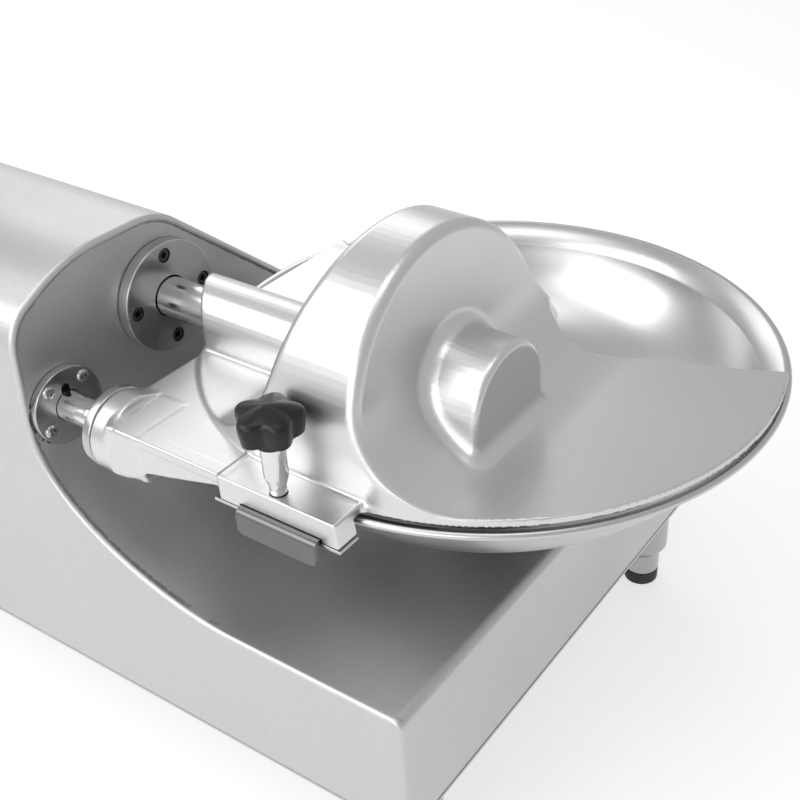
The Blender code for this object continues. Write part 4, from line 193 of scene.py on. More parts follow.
CAST = metal("satin_cast_aluminium", (0.68, 0.684, 0.69), 0.33, 0.40, 700, (1, 1, 1), 0.00003)
HOUSING = metal("satin_housing", (0.60, 0.604, 0.61), 0.44, 0.54, 500, (0.3, 1, 1), 0.00003)
TURNED = metal("turned_steel", (0.50, 0.505, 0.51), 0.24, 0.34, 900, (8, 1, 1), 0.00002)
TURNED_Z = metal("turned_steel_upright", (0.46, 0.465, 0.47), 0.22, 0.32, 900, (1, 1, 8), 0.00002)
BRUSHED = metal("brushed_steel", (0.52, 0.525, 0.53), 0.26, 0.36, 600, (0.12, 1, 1), 0.00002)
POLISHED = metal("polished_steel", (0.72, 0.724, 0.73), 0.14, 0.22, 400, (1, 1, 1), 0.00001, 12, 0.96)
BOWL_STEEL = metal("spun_steel", (0.57, 0.574, 0.58), 0.26, 0.34, 260, (1, 1, 5), 0.00002, 7, 0.95)
# Brushed steel made darker for the rim wiper: painted shade, which keeps the wiper's front dark where it
# would mirror the bright floor
SHADED_BRUSHED_STEEL = metal("shaded_brushed_steel", (0.17, 0.173, 0.177), 0.28, 0.40, 600, (0.12, 1, 1), 0.00002)
IRON = metal("grey_iron", (0.22, 0.23, 0.24), 0.45, 0.62, 350, (1, 1, 1), 0.00008, 20, 0.8)
SCREW = metal("blackened_screw", (0.10, 0.10, 0.105), 0.30, 0.42, 900, (1, 1, 1), 0.00002)
# Near-black stand-in for deep shade: painted shade on the floor of the hinge well
PAINTED_SHADE = plastic("shadowed_recess", (0.012, 0.012, 0.013), 0.6, 400, 0.00002)
BLACK = plastic("black_plastic", (0.008, 0.008, 0.009), 0.34, 500, 0.00001, 0.0, 0.3)
RUBBER = plastic("black_rubber", (0.022, 0.022, 0.023), 0.62, 900, 0.00004)
GREEN = plastic("green_plastic", (0.02, 0.30, 0.08), 0.30, 500, 0.00001, 0.4)
RED = plastic("red_plastic", (0.55, 0.02, 0.02), 0.30, 500, 0.00001, 0.4)
PAINT = plastic("motor_paint", (0.16, 0.20, 0.26), 0.38, 600, 0.00002, 0.3)


def dress(material, *names):
    """Give carried-over nodes a procedural material."""
    for name in names:
        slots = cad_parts[name].data.materials
        if len(slots):
            for i in range(len(slots)):
                slots[i] = material
        else:
            slots.append(material)


dress(IRON, "bearing_housing", "knife_pulley", "worm_wheel", "spindle_housing", "worm_pulley",
      "worm_bracket", "motor_pulley", "hinge_sleeve", "magnet_collar")
dress(BRUSHED, "bottom_plate", "bulkhead", "knife_hub", "knife_nut", "bowl_drive_plate",
      "worm_shaft", "motor_shaft", "hinge_pin", "clamp_pad", "wiper_keeper", "rim_wiper",
      "hinge_flange", "shaft_flange", "hinge_ring", "leg_1", "leg_2", "leg_3", "leg_4")
dress(POLISHED, "knife_bearing_rear", "knife_bearing_front", "knife_shaft", "knife_1", "knife_2",
      "knife_3", "bowl_nut", "bowl_spindle", "spindle_bearing_lower", "spindle_bearing_upper",
      "hinge_shaft", "clamp_screw", "bowl")
dress(RUBBER, "rubber_foot_1", "rubber_foot_2", "rubber_foot_3", "rubber_foot_4", "shaft_seal",
      "knife_belt", "bowl_belt")
dress(BLACK, "motor_fan", "reed_switch", "knob", "switch_plate", "cable_gland")
dress(PAINT, "motor_body")
dress(GREEN, "start_button")
dress(RED, "stop_button")
dress(CAST, "cover")
dress(HOUSING, "body_shell")


# Distance fields, in millimetres in the machine's frame
def rounded_and(a, b, radius):
    """Intersection whose edge is rounded."""
    over = np.sqrt(np.maximum(radius + a, 0) ** 2 + np.maximum(radius + b, 0) ** 2)
    return np.minimum(-radius, np.maximum(a, b)) + over


def rounded_or(a, b, radius):
    """Union whose inner corner is filled with a circular fillet."""
    over = np.sqrt(np.maximum(radius - a, 0) ** 2 + np.maximum(radius - b, 0) ** 2)
    return np.maximum(radius, np.minimum(a, b)) - over


def outline_distance(points, u, v):
    """Signed distance to a closed flat outline, negative inside."""
    u, v = np.broadcast_arrays(u, v)
    best = np.full(u.shape, 1e9, np.float32)
    inside = np.zeros(u.shape, bool)
    for (au, av), (bu, bv) in zip(points, points[1:] + points[:1]):
        eu, ev = bu - au, bv - av
        du, dv = u - au, v - av
        t = np.clip((du * eu + dv * ev) / (eu * eu + ev * ev), 0, 1)
        best = np.minimum(best, (du - eu * t) ** 2 + (dv - ev * t) ** 2)
        if av != bv:
            crosses = (v >= min(av, bv)) & (v < max(av, bv))
            inside ^= crosses & (u < au + eu * dv / ev)
    return np.where(inside, -np.sqrt(best), np.sqrt(best)).astype(np.float32)


def arc(centre, radius, start, end, steps):
    """Points of an arc between two angles in degrees, both ends included."""
    angles = np.radians(np.linspace(start, end, steps + 1))
    return [(centre[0] + radius * math.cos(a), centre[1] + radius * math.sin(a)) for a in angles]


def flowing(points, steps=8):
    """Smooth curve through points (Catmull-Rom)."""
    ends = [points[0]] + list(points) + [points[-1]]
    out = []
    for p0, p1, p2, p3 in zip(ends, ends[1:], ends[2:], ends[3:]):
        for k in range(steps):
            t = k / steps
            out.append(tuple(
                0.5 * (2 * b + (c - a) * t + (2 * a - 5 * b + 4 * c - d) * t * t
                       + (3 * b - a - 3 * c + d) * t ** 3)
                for a, b, c, d in zip(p0, p1, p2, p3)
            ))
    return out + [tuple(points[-1])]


def rounded(corners, steps=6):
    """Closed outline from (u, v, radius) corners."""
    points = []
    for i, (u, v, radius) in enumerate(corners):
        here = Vector((u, v))
        if not radius:
            points.append((u, v))
            continue
        before = (Vector(corners[i - 1][:2]) - here).normalized()
        after = (Vector(corners[(i + 1) % len(corners)][:2]) - here).normalized()
        half = before.angle(after) / 2
        middle = here + (before + after).normalized() * (radius / math.sin(half))
        reach = radius / math.tan(half)
        first, last = here + before * reach - middle, here + after * reach - middle
        turn = first.angle_signed(last)
        points += [tuple(middle + Matrix.Rotation(-turn * k / steps, 2) @ first) for k in range(steps + 1)]
    return points


def field_mesh(name, field, xs, ys, zs):
    """Skin of a distance field on a grid: surface nets, then each point moved onto the surface."""
    xs, ys, zs = (np.asarray(a, np.float32) for a in (xs, ys, zs))
    value = field(xs[:, None, None], ys[None, :, None], zs[None, None, :])
    value = np.broadcast_to(value, (len(xs), len(ys), len(zs)))
    solid = value < 0
    counts = np.zeros(tuple(n - 1 for n in value.shape), np.int8)
    corners = [(i, j, k) for i in (0, 1) for j in (0, 1) for k in (0, 1)]
    for i, j, k in corners:
        counts += solid[i:i + counts.shape[0], j:j + counts.shape[1], k:k + counts.shape[2]]
    cells = np.argwhere((counts > 0) & (counts < 8))
    ids = np.full(counts.shape, -1, np.int32)
    ids[tuple(cells.T)] = np.arange(len(cells))
    total = np.zeros((len(cells), 3))
    hits = np.zeros(len(cells))
    axes = (xs, ys, zs)
    for a in corners:
        for axis in range(3):
            if a[axis]:
                continue
            b = tuple(1 if n == axis else a[n] for n in range(3))
            at_a = tuple((cells + a).T)
            at_b = tuple((cells + b).T)
            va, vb = value[at_a], value[at_b]
            cut = (va < 0) != (vb < 0)
            t = np.where(cut, va / np.where(cut, va - vb, 1), 0)
            for n in range(3):
                pa, pb = axes[n][at_a[n]], axes[n][at_b[n]]
                total[:, n] += np.where(cut, pa + (pb - pa) * t, 0)
            hits += cut
    points = total / hits[:, None]
    faces = []
    for axis in range(3):
        u, w = (axis + 1) % 3, (axis + 2) % 3
        first = [slice(None)] * 3
        second = [slice(None)] * 3
        first[axis], second[axis] = slice(0, -1), slice(1, None)
        here, there = solid[tuple(first)], solid[tuple(second)]
        for flip, mask in ((False, here & ~there), (True, ~here & there)):
            edge = np.argwhere(mask)
            keep = (edge[:, u] > 0) & (edge[:, w] > 0)
            keep &= (edge[:, u] < value.shape[u] - 1) & (edge[:, w] < value.shape[w] - 1)
            edge = edge[keep]
            ring = []
            for du, dw in ((1, 1), (0, 1), (0, 0), (1, 0)):
                at = edge.copy()
                at[:, u] -= du
                at[:, w] -= dw
                ring.append(ids[tuple(at.T)])
            quads = np.stack(ring, 1)
            faces.append(quads[:, ::-1] if flip else quads)
    faces = np.concatenate(faces)

    def slope(p, here=None, reach=0.12):
        """Gradient of the field, forward where its value is known, else central."""
        parts = []
        for n in range(3):
            shift = np.zeros(3)
            shift[n] = reach
            back = field(*(p - shift).T) if here is None else here
            parts.append((field(*(p + shift).T) - back) / (reach * (2 if here is None else 1)))
        return np.stack(parts, 1)

    limit = 0.6 * min(np.diff(a).min() for a in axes)
    for _ in range(2):
        here = field(*points.T)
        lean = slope(points, here)
        size = np.maximum((lean ** 2).sum(1), 0.05)
        points = points - lean * np.clip(here / size, -limit, limit)[:, None]
    normals = slope(points)
    normals /= np.maximum(np.linalg.norm(normals, axis=1), 1e-6)[:, None]
    mesh = bpy.data.meshes.new(name)
    mesh.from_pydata([], [], [])
    mesh.vertices.add(len(points))
    mesh.vertices.foreach_set("co", ((points + ORIGIN) / 1000).astype(np.float32).ravel())
    mesh.loops.add(faces.size)
    mesh.loops.foreach_set("vertex_index", faces.astype(np.int32).ravel())
    mesh.polygons.add(len(faces))
    mesh.polygons.foreach_set("loop_start", np.arange(0, faces.size, 4, dtype=np.int32))
    mesh.update(calc_edges=True)
    mesh.validate()
    mesh.shade_smooth()
    mesh.normals_split_custom_set_from_vertices(normals)
    made = bpy.data.objects.new(name, mesh)
    bpy.context.scene.collection.objects.link(made)
    return made


# Cover casting
def lid_plan():
    """Lid from above: open at the front, where its circle ends it, and curved at the back."""
    back = flowing([(186, 65), (150, 48), (112, 34.5), (90, 24), (76, 14.5), (65, 7.5), (55, 4.5), (46, 4.5),
                    (39, 7), (33.5, 17), (28.5, 34), (20, 47), (0, 54.5)], 4)
    mirrored = [(-x, y) for x, y in back[::-1]][1:]
    return [(-260, -260), (260, -260), (260, 91)] + back + mirrored + [(-260, 91)]


LID = lid_plan()
DEEP = -40


def arch(centre, radius, steps):
    """Half circle on straight legs that run down past the cover."""
    return [(centre[0] + radius, DEEP)] + arc(centre, radius, 0, 180, steps) + [(centre[0] - radius, DEEP)]


HOOD = [(HOOD_LINE[0] - HOOD_RADIUS, DEEP)] + arc(HOOD_LINE, HOOD_RADIUS, 180, 20, 60)
HOOD += flowing([(-0.5, 66.2), (7, 55), (14.5, 43), (24, 31), (37, 18.5), (54, 8.5)])[1:]
HOOD += [(60, 6), (60, DEEP)]
BOSS = arch(BOSS_LINE, BOSS_RADIUS, 30)
TUNNEL = arch(SHAFT, TUNNEL_RADIUS, 24)
CHANNEL = arch(SHAFT, TUNNEL_BORE, 24)
WEB = rounded([(-155, -100, 0), (-155, -172, 4), (-145, -180, 0), (-145, -209, 3), (-136, -214, 3),
               (-46, -214, 0), (-46, -98, 0), (-98, -93, 0)][::-1])
ARM = [(-46, 6), (-46, -2), (-56, -2.6), (-76, -8), (-98, -14), (-109, -16.5), (-116, -18.5), (-126, -24),
       (-134, -28), (-140, -29.5), (-146, -28), (-146, 6)]
BLOCK = rounded([(-214, 6, 2), (-172, 6, 2), (-172, -14.5, 6), (-190, -35, 12), (-214, -29, 8)])


def cover_field(x, y, z):
    """Cover casting as a distance field."""
    reach = np.sqrt(x * x + y * y)
    plan = np.maximum(outline_distance(LID, x, y), reach - LID_RADIUS)
    side = outline_distance(HOOD, y, z)
    right = (x - HOOD_RIGHT + HOOD_RIGHT_DRAFT * z) / math.hypot(1, HOOD_RIGHT_DRAFT)
    left = (-x + HOOD_LEFT + HOOD_LEFT_DRAFT * z) / math.hypot(1, HOOD_LEFT_DRAFT)
    ends = rounded_and(right, left, 4)
    top = z - LID_TOP
    flank = rounded_or(ends, top, FLANK_FILLET)
    hood = rounded_and(flank, side, HOOD_EDGE)
    body = rounded_or(hood, top + 0 * x, 3)
    boss_side = outline_distance(BOSS, y, z) + BOSS_DRAFT * (x - BOSS_MIDDLE)
    boss = rounded_and(boss_side, np.abs(x - BOSS_MIDDLE) - BOSS_HALF, 4)
    body = rounded_or(body, boss, 9)
    tunnel = np.maximum(outline_distance(TUNNEL, y, z), x)
    body = rounded_or(body, rounded_and(tunnel, reach - TUNNEL_REACH, 1.5), 6)
    body = rounded_and(body, plan, 1.2)
    shell = np.maximum(np.maximum(body, -(body + CAST_WALL)), LID_UNDERSIDE - z)
    web = rounded_and(outline_distance(WEB, x, y), np.abs(z - 4.5) - 2.7, 0.8)
    arm = rounded_and(outline_distance(ARM, x, z), np.abs(y + 209.25) - 4.75, 1.6)
    block = rounded_and(outline_distance(BLOCK, y, z), np.abs(x + 132) - 13.5, 3)
    ring = np.sqrt((y - HINGE[0]) ** 2 + (z - HINGE[1]) ** 2)
    collar = rounded_and(ring - HINGE_RADIUS, np.abs(x + 151.6) - HINGE_SPAN, 1.5)
    solid = rounded_or(web, arm, 2)
    solid = rounded_or(solid, rounded_or(block, collar, 3), 4)
    solid = rounded_or(shell, solid, 3)
    lug = rounded_and(np.maximum(np.abs(y + 203.5) - 13.5, np.abs(z - 0.5) - 8.5),
                      np.maximum(x - 36.4 + 0.08 * z, -51 - x), 1.4)
    lug = rounded_and(lug, LUG_FRONT - y, 1.4)
    solid = rounded_or(solid, lug, 3)
    low = np.where((reach > 186) & (x < 60), 3.4, 2.1)
    rim_room = np.maximum(np.maximum(reach - RIM_ROOM_RADII[1], RIM_ROOM_RADII[0] - reach), z - low)
    channel = np.maximum(outline_distance(CHANNEL, y, z), x + 10)
    slot = np.maximum(np.abs(x + 5) - 29.6, z + 5.0)
    knob_hole = np.sqrt((x - KNOB[0]) ** 2 + (y - KNOB[1]) ** 2)
    pocket = np.maximum(knob_hole - PAD_POCKET, z - PAD_POCKET_TOP)
    for room in (rim_room, channel, np.maximum(slot, y + 190), ring - 10.8, pocket, knob_hole - KNOB_BORE):
        solid = np.maximum(solid, -room)
    return solid


# The grid is finer round the clamp screw's pocket
xs = np.concatenate([np.arange(-181, -19, 1.6), np.arange(-18.6, 0, 0.8), np.arange(1, 200, 1.6)])
ys = np.concatenate([np.arange(-220, -202, 0.8), np.arange(-201.2, 68, 1.6)])
zs = np.concatenate([np.arange(-39, -10, 1.6), np.arange(-9.4, 4, 0.8), np.arange(5, 135, 1.6)])
cover = field_mesh("cover_casting", cover_field, xs, ys, zs)
cover.data.materials.append(CAST)
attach(cover, "cover")
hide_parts("cover")


# Housing
CROSS_TOP = [(FRONT, -10, 0), (-217, 55, 34), (-165, 83, 105), (-85, 83, 54), (153, BASE_TOP, 20),
             (178, BASE_TOP, 8)]
CROSS = rounded([(FRONT, -260, 0), *CROSS_TOP, (178, -260, 0)], 12)


def cove_outline():
    """End face, cove and low base, seen from the front."""
    cove = []
    for i in range(41):
        angle = math.pi / 2 * i / 40
        across, down = math.cos(angle) ** (2 / COVE_POWER), math.sin(angle) ** (2 / COVE_POWER)
        cove.append((COVE_TOP[0] - COVE_WIDTH * across, COVE_TOP[1] - COVE_HEIGHT * down))
    end = rounded([(35, BASE_TOP, 0), (BASE_RIGHT, BASE_TOP, 8), (BASE_RIGHT, -300, 0)], 10)
    return [(-600, -300), (-600, 160), (END_FACE, 160)] + cove + end


LONG = cove_outline()


def housing_field(x, y, z):
    """Housing and base as one skin, with a raised lip round the end face that fades along the cove."""
    cross = outline_distance(CROSS, y, z)
    along = outline_distance(LONG, x, z)
    fade = np.clip((-90 - x) / 100, 0, 1)
    depth = LIP_DEPTH * fade * fade * (3 - 2 * fade)
    body = rounded_and(cross, along, 3.2)
    recess = np.maximum(cross + LIP_WIDTH, -depth - along)
    body = rounded_and(body, -recess, 1.3)
    spot = np.sqrt((y - HINGE[0]) ** 2 + (z - HINGE[1]) ** 2) - 27.6
    return np.maximum(body, -np.maximum(spot, -216 - x))


# The grid is finer across the lip of the end face
xs = np.concatenate([[-517.6], np.linspace(-516.6, -226, 30), np.arange(-224, -206, 0.8),
                     np.arange(-205, 81, 2.6)])
housing = field_mesh("housing", housing_field, xs, np.arange(-223, 182, 2.0),
                     np.concatenate([[-223.6, -222.8], np.arange(-221, 90, 2.0)]))
housing.data.materials.append(HOUSING)
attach(housing, "root")
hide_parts("body_shell")


# Turned and cut pieces
def link(name, shape, material, body, slot, *nodes):
    """Turn a bmesh drawn in the machine's frame into a piece of the scene."""
    bmesh.ops.recalc_face_normals(shape, faces=shape.faces)
    mesh = bpy.data.meshes.new(name)
    bmesh.ops.transform(
        shape, matrix=Matrix.Translation(Vector(ORIGIN) / 1000) @ Matrix.Scale(0.001, 4), verts=shape.verts
    )
    shape.to_mesh(mesh)
    shape.free()
    mesh.shade_smooth()
    mesh.set_sharp_from_angle(angle=math.radians(40))
    mesh.materials.append(material)
    made = bpy.data.objects.new(name, mesh)
    bpy.context.scene.collection.objects.link(made)
    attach(made, body)
    if nodes:
        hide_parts(*nodes)
    return made


def bevel(piece, width, segments=2):
    """Round a piece's sharp edges, width in millimetres."""
    step = piece.modifiers.new("edges", "BEVEL")
    step.width = width / 1000
    step.segments = segments
    step.limit_method = "ANGLE"
    step.angle_limit = math.radians(40)
    step.harden_normals = True
    return piece


def put(axis, u, v, along):
    """Point from its place across an axis and its place along it."""
    return {"X": (along, u, v), "Y": (u, along, v), "Z": (u, v, along)}[axis]


def spun(profile, axis, centre, segments=96, into=None):
    """Turn a profile of (radius, distance along the axis) about an axis line."""
    made = into or bmesh.new()
    rings = []
    for radius, along in profile:
        ring = []
        for i in range(segments if radius > 1e-6 else 1):
            angle = 2 * math.pi * i / segments
            u, v = radius * math.cos(angle), radius * math.sin(angle)
            ring.append(made.verts.new(Vector(put(axis, u, v, along)) + Vector(centre)))
        rings.append(ring)
    for low, high in zip(rings, rings[1:]):
        for i in range(segments):
            j = (i + 1) % segments
            if len(low) == 1 and len(high) == 1:
                continue
            if len(low) == 1:
                made.faces.new((low[0], high[j], high[i]))
            elif len(high) == 1:
                made.faces.new((low[i], low[j], high[0]))
            else:
                made.faces.new((low[i], low[j], high[j], high[i]))
    return made


def soft(profile, radius=0.6, steps=3):
    """Round the inner corners of an open profile."""
    points = [profile[0]]
    for before, here, after in zip(profile, profile[1:], profile[2:]):
        b, h, a = Vector(before), Vector(here), Vector(after)
        reach = min(radius, (b - h).length / 2.2, (a - h).length / 2.2)
        start, end = h + (b - h).normalized() * reach, h + (a - h).normalized() * reach
        for k in range(steps + 1):
            t = k / steps
            points.append(tuple((1 - t) ** 2 * start + 2 * t * (1 - t) * h + t * t * end))
    return points + [profile[-1]]


shaft_line = (0, *SHAFT)
hinge_line = (0, *HINGE)

# Bowl: the channel, its flared lip and the rolled bead
inside = arc(CHANNEL_LINE, CHANNEL_RADIUS, 340.4, 207.0, 60)
outside = arc(CHANNEL_LINE, CHANNEL_RADIUS + BOWL_WALL, 218.0, 341.0, 60)
bead = arc(BEAD_LINE, BEAD_RADIUS, -60, 90, 10)
profile = [(7.8, -44), (7.8, -20.6), (11, -20.5)] + inside[::-1]
profile += [(190.4, -3.0), (193.4, -0.7), (195.4, -0.1)] + bead[::-1] + [(196.0, -4.9), (193.6, -5.2)]
profile += outside[::-1] + [(17, -44), (7.8, -44)]
link("bowl_spun", spun(profile, "Z", (0, 0, 0), 180), BOWL_STEEL, "bowl", "polished_steel", "bowl")


def carved(shape, *rooms, operation="DIFFERENCE"):
    """Exact Booleans on drawn shapes, given back as a new bmesh."""
    def stand_in(drawn):
        """Throw-away object for a modifier."""
        bmesh.ops.recalc_face_normals(drawn, faces=drawn.faces)
        mesh = bpy.data.meshes.new("stand_in")
        drawn.to_mesh(mesh)
        drawn.free()
        made = bpy.data.objects.new("stand_in", mesh)
        bpy.context.scene.collection.objects.link(made)
        return made

    base = stand_in(shape)
    tools = [stand_in(room) for room in rooms]
    for tool in tools:
        step = base.modifiers.new("cut", "BOOLEAN")
        step.operation = operation
        step.solver = "EXACT"
        step.object = tool
    bpy.context.view_layer.update()
    out = bmesh.new()
    out.from_object(base, bpy.context.evaluated_depsgraph_get())
    for made in [base, *tools]:
        bpy.data.objects.remove(made)
    return out


def rod(axis, centre, radius, low, high, segments=48, into=None):
    """Plain bar, used to cut with or to add to a shape."""
    return spun([(0, low), (radius, low), (radius, high), (0, high)], axis, centre, segments, into)


def plate(outline, axis, low, high, into=None):
    """Flat outline extruded along an axis."""
    made = into or bmesh.new()
    rings = [[made.verts.new(put(axis, u, v, w)) for u, v in outline] for w in (low, high)]
    for i in range(len(outline)):
        j = (i + 1) % len(outline)
        made.faces.new((rings[0][i], rings[0][j], rings[1][j], rings[1][i]))
    made.faces.new(rings[0][::-1])
    made.faces.new(rings[1])
    return made


def cap_screw(name, centre, face, body, slot, head=4.6, depth=5.6):
    """Socket-head screw along +X, its head's face at a distance along the axis."""
    profile = soft([(0, face - depth), (head, face - depth), (head, face), (2.9, face), (0, face)], 0.7, 3)
    socket = rod("X", (0, *centre), 2.5, face - 3, face + 1, 6)
    link(name, carved(spun(profile, "X", (0, *centre), 32), socket), SCREW, body, slot)


def pan_screw(name, centre, face, body, slot, turn=0.3, axis="X", radius=4.6, sign=1):
    """Cross-recess screw with a low domed head."""
    rises = ((0, -1), (1, -1), (1, 0.5), (0.93, 1.2), (0.72, 1.8), (0.4, 2.15), (0, 2.25))
    dome = [(radius * share, face + sign * rise) for share, rise in rises]
    spot = put(axis, *centre, 0)
    arms = []
    for angle in (turn, turn + math.pi / 2):
        along = Vector((math.cos(angle), math.sin(angle)))
        side = Vector((-along.y, along.x))
        signs = ((-1, -1), (1, -1), (1, 1), (-1, 1))
        corners = [along * a * radius * 0.56 + side * b * radius * 0.13 for a, b in signs]
        ends = sorted((face + sign * 0.5, face + sign * 4))
        arms.append(plate([(centre[0] + c.x, centre[1] + c.y) for c in corners], axis, *ends))
    link(name, carved(spun(dome, axis, spot, 32), *arms), TURNED, body, slot)


# Shaft flange with its socket screws
profile = soft([(15, SHAFT_FLANGE_FACE), (15, FLANGE_SEAT), (40, FLANGE_SEAT), (40, SHAFT_FLANGE_FACE),
                (15, SHAFT_FLANGE_FACE)], 0.8)
flange = spun(profile, "X", shaft_line, 128)
wells = []
for i, (dy, dz) in enumerate(((31, 0), (0, 31), (-31, 0), (0, -31))):
    spot = (SHAFT[0] + dy, SHAFT[1] + dz)
    wells.append(rod("X", (0, *spot), 5.3, SHAFT_FLANGE_FACE - 6, SHAFT_FLANGE_FACE + 2, 32))
    cap_screw(f"flange_screw_{i + 1}", spot, SHAFT_FLANGE_FACE - 0.8, "root", "brushed_steel")
flange = carved(flange, *wells)
bevel(link("shaft_flange_turned", flange, TURNED, "root", "brushed_steel", "shaft_flange"), 0.35)

# Hinge flange with its keyhole and three cross-recess screws
profile = soft([(10.9, HINGE_FLANGE_FACE), (10.9, FLANGE_SEAT - 0.1), (27, FLANGE_SEAT - 0.1),
                (27, HINGE_FLANGE_FACE), (10.9, HINGE_FLANGE_FACE)], 0.7)
flange = spun(profile, "X", hinge_line, 96)
slot = rounded([(HINGE[0] - 3.4, HINGE[1], 0), (HINGE[0] + 3.4, HINGE[1], 0),
                (HINGE[0] + 3.4, HINGE[1] + 16.5, 3.3), (HINGE[0] - 3.4, HINGE[1] + 16.5, 3.3)])
flange = carved(flange, plate(slot, "X", HINGE_FLANGE_FACE - 7, HINGE_FLANGE_FACE + 2))
bevel(link("hinge_flange_turned", flange, TURNED, "root", "brushed_steel", "hinge_flange"), 0.3)
# Near-black disc on the well's floor behind the hinge flange: painted shade
well = rod("X", hinge_line, 15, -216.3, -215.8, 48)
link("hinge_well_shade", well, PAINTED_SHADE, "root", "black_plastic")
for i, angle in enumerate((46, 128, 211)):
    a = math.radians(angle)
    spot = (HINGE[0] + 21 * math.cos(a), HINGE[1] + 21 * math.sin(a))
    pan_screw(f"hinge_screw_{i + 1}", spot, HINGE_FLANGE_FACE, "root", "brushed_steel", 0.4 + i)

# Knife shaft, hinge shaft, thrust ring and cross pin
profile = [(0, 32.5), (8.2, 32.5), (9, 31.6), (9, 14.5), (11, 14.5), (11, -19.8), (14.1, -19.8),
           (14.1, -229.7), (12.5, -229.7), (12.5, -446), (10, -446), (10, -504), (0, -504)]
shaft = spun(profile, "X", shaft_line, 96)
link("knife_shaft_ground", shaft, POLISHED, "knife", "polished_steel", "knife_shaft")
profile = [(0, -141), (10.5, -141), (10.5, -262.9), (0, -262.9)]
shaft = spun(profile, "X", hinge_line, 72)
link("hinge_shaft_ground", shaft, POLISHED, "cover", "polished_steel", "hinge_shaft")
profile = soft([(10.8, -167), (27.4, -167), (27.4, -160.6), (10.8, -160.6)], 0.9)
link("hinge_ring_turned", spun(profile + [profile[0]], "X", hinge_line, 96), TURNED, "cover", "brushed_steel",
     "hinge_ring")
pin = spun(soft([(0, -13.8), (3, -13.8), (3, 13.8), (0, 13.8)], 0.8), "Z", (0, 0, 0), 32)
lean = Vector((0, 0, 1)).rotation_difference(Vector((0, -1, 1)))
place = Matrix.Translation(Vector((-181, *HINGE))) @ lean.to_matrix().to_4x4()
bmesh.ops.transform(pin, matrix=place, verts=pin.verts)
link("hinge_pin_ground", pin, TURNED, "cover", "brushed_steel", "hinge_pin")

# Star knob and its screw
KNOB_STEPS = 120
KNOB_LOBES = 5
KNOB_TURN = math.radians(46)
KNOB_HOLLOW, LOBE_RISE = 15.4, 4.75


def star(width, z, bulge=1.0):
    """One level of the knob: five round lobes with hollows between."""
    ring = []
    for i in range(KNOB_STEPS):
        a = 2 * math.pi * i / KNOB_STEPS
        wave = 0.5 + 0.5 * math.cos(KNOB_LOBES * (a - KNOB_TURN))
        radius = (KNOB_HOLLOW + LOBE_RISE * bulge * wave ** 0.8) * width
        ring.append((KNOB[0] + radius * math.cos(a), KNOB[1] + radius * math.sin(a), z))
    return ring


# Share of the width, height and bulge of the lobes at each level
levels = [(0.0, 48.7, 0), (0.50, 48.7, 0), (0.86, 48.8, 0.8), (0.925, 49.6, 1), (0.955, 53, 1),
          (0.985, 57, 1), (1.0, 60.5, 1), (0.985, 62.6, 1), (0.93, 64.1, 1), (0.84, 65.0, 1),
          (0.70, 65.9, 0.95), (0.5, 67.2, 0.8), (0.3, 68.2, 0.5), (0.12, 68.8, 0.2), (0.0, 69.0, 0)]
knob = bmesh.new()
rings = []
for width, z, bulge in levels:
    if width:
        rings.append([knob.verts.new(p) for p in star(width, z, bulge)])
    else:
        rings.append([knob.verts.new((*KNOB, z))])
for low, high in zip(rings, rings[1:]):
    for i in range(KNOB_STEPS):
        j = (i + 1) % KNOB_STEPS
        if len(low) == 1:
            knob.faces.new((low[0], high[j], high[i]))
        elif len(high) == 1:
            knob.faces.new((low[i], low[j], high[0]))
        else:
            knob.faces.new((low[i], low[j], high[j], high[i]))
spun(soft([(0, 43.0), (9.25, 43.0), (9.25, 49.5), (0, 49.5)], 0.7), "Z", (*KNOB, 0), 64, knob)
link("star_knob", knob, BLACK, "knob", "black_plastic", "knob")
profile = [(0, 42.6), (7.15, 42.6), (7.15, 21.6), (6.9, 20.9), (5.2, 15.2), (4.9, 13.4), (4.55, 12.9),
           (4.55, 12.5), (4.95, 12.2), (4.95, 11.6), (4.55, 11.3), (4.55, 10.9), (4.95, 10.6), (4.95, 10.0),
           (4.4, 9.6), (4.4, 9.0), (3.8, 8.9), (3.8, -1.9), (0, -1.9)]
screw = spun(profile, "Z", (*KNOB, 0), 64)
link("clamp_screw_turned", screw, POLISHED, "knob", "polished_steel", "clamp_screw")

# Rim wiper: bent plate with rounded lower corners
bend = (-218.5, -9.3)
sheet = [(-190.4, -5.3)] + arc(bend, 4, 90, 180, 12) + [(-222.5, -22), (-220.1, -22)]
sheet += arc(bend, 1.6, 180, 90, 8) + [(-190.4, -7.7)]
face = rounded([(-34, 0, 0), (-34, -22, 4), (24, -22, 4), (24, 0, 0)], 8)
wiper = carved(plate(sheet, "X", -34, 24), plate(face, "Y", -224, -188), operation="INTERSECT")
wiper = carved(wiper, rod("Z", (0, 0, 0), 200.8, -30, 30, 256))
# The wiper's darkened steel is painted shade on its front
bevel(link("rim_wiper_bent", wiper, SHADED_BRUSHED_STEEL, "rim_wiper", "brushed_steel", "rim_wiper"), 0.3)
strip = plate([(-55, -217), (38, -217), (38, -190), (-55, -190)], "Z", -10.3, -8.3)
strip = carved(strip, rod("Z", (0, 0, 0), 204.1, -30, 30, 256))
bevel(link("wiper_keeper_strip", strip, TURNED, "cover", "brushed_steel", "wiper_keeper"), 0.4)
for i, x in enumerate((-45, 31)):
    pan_screw(f"keeper_screw_{i + 1}", (x, -211), -10.3, "cover", "brushed_steel", 0.5 + i, "Z", 3.0, -1)

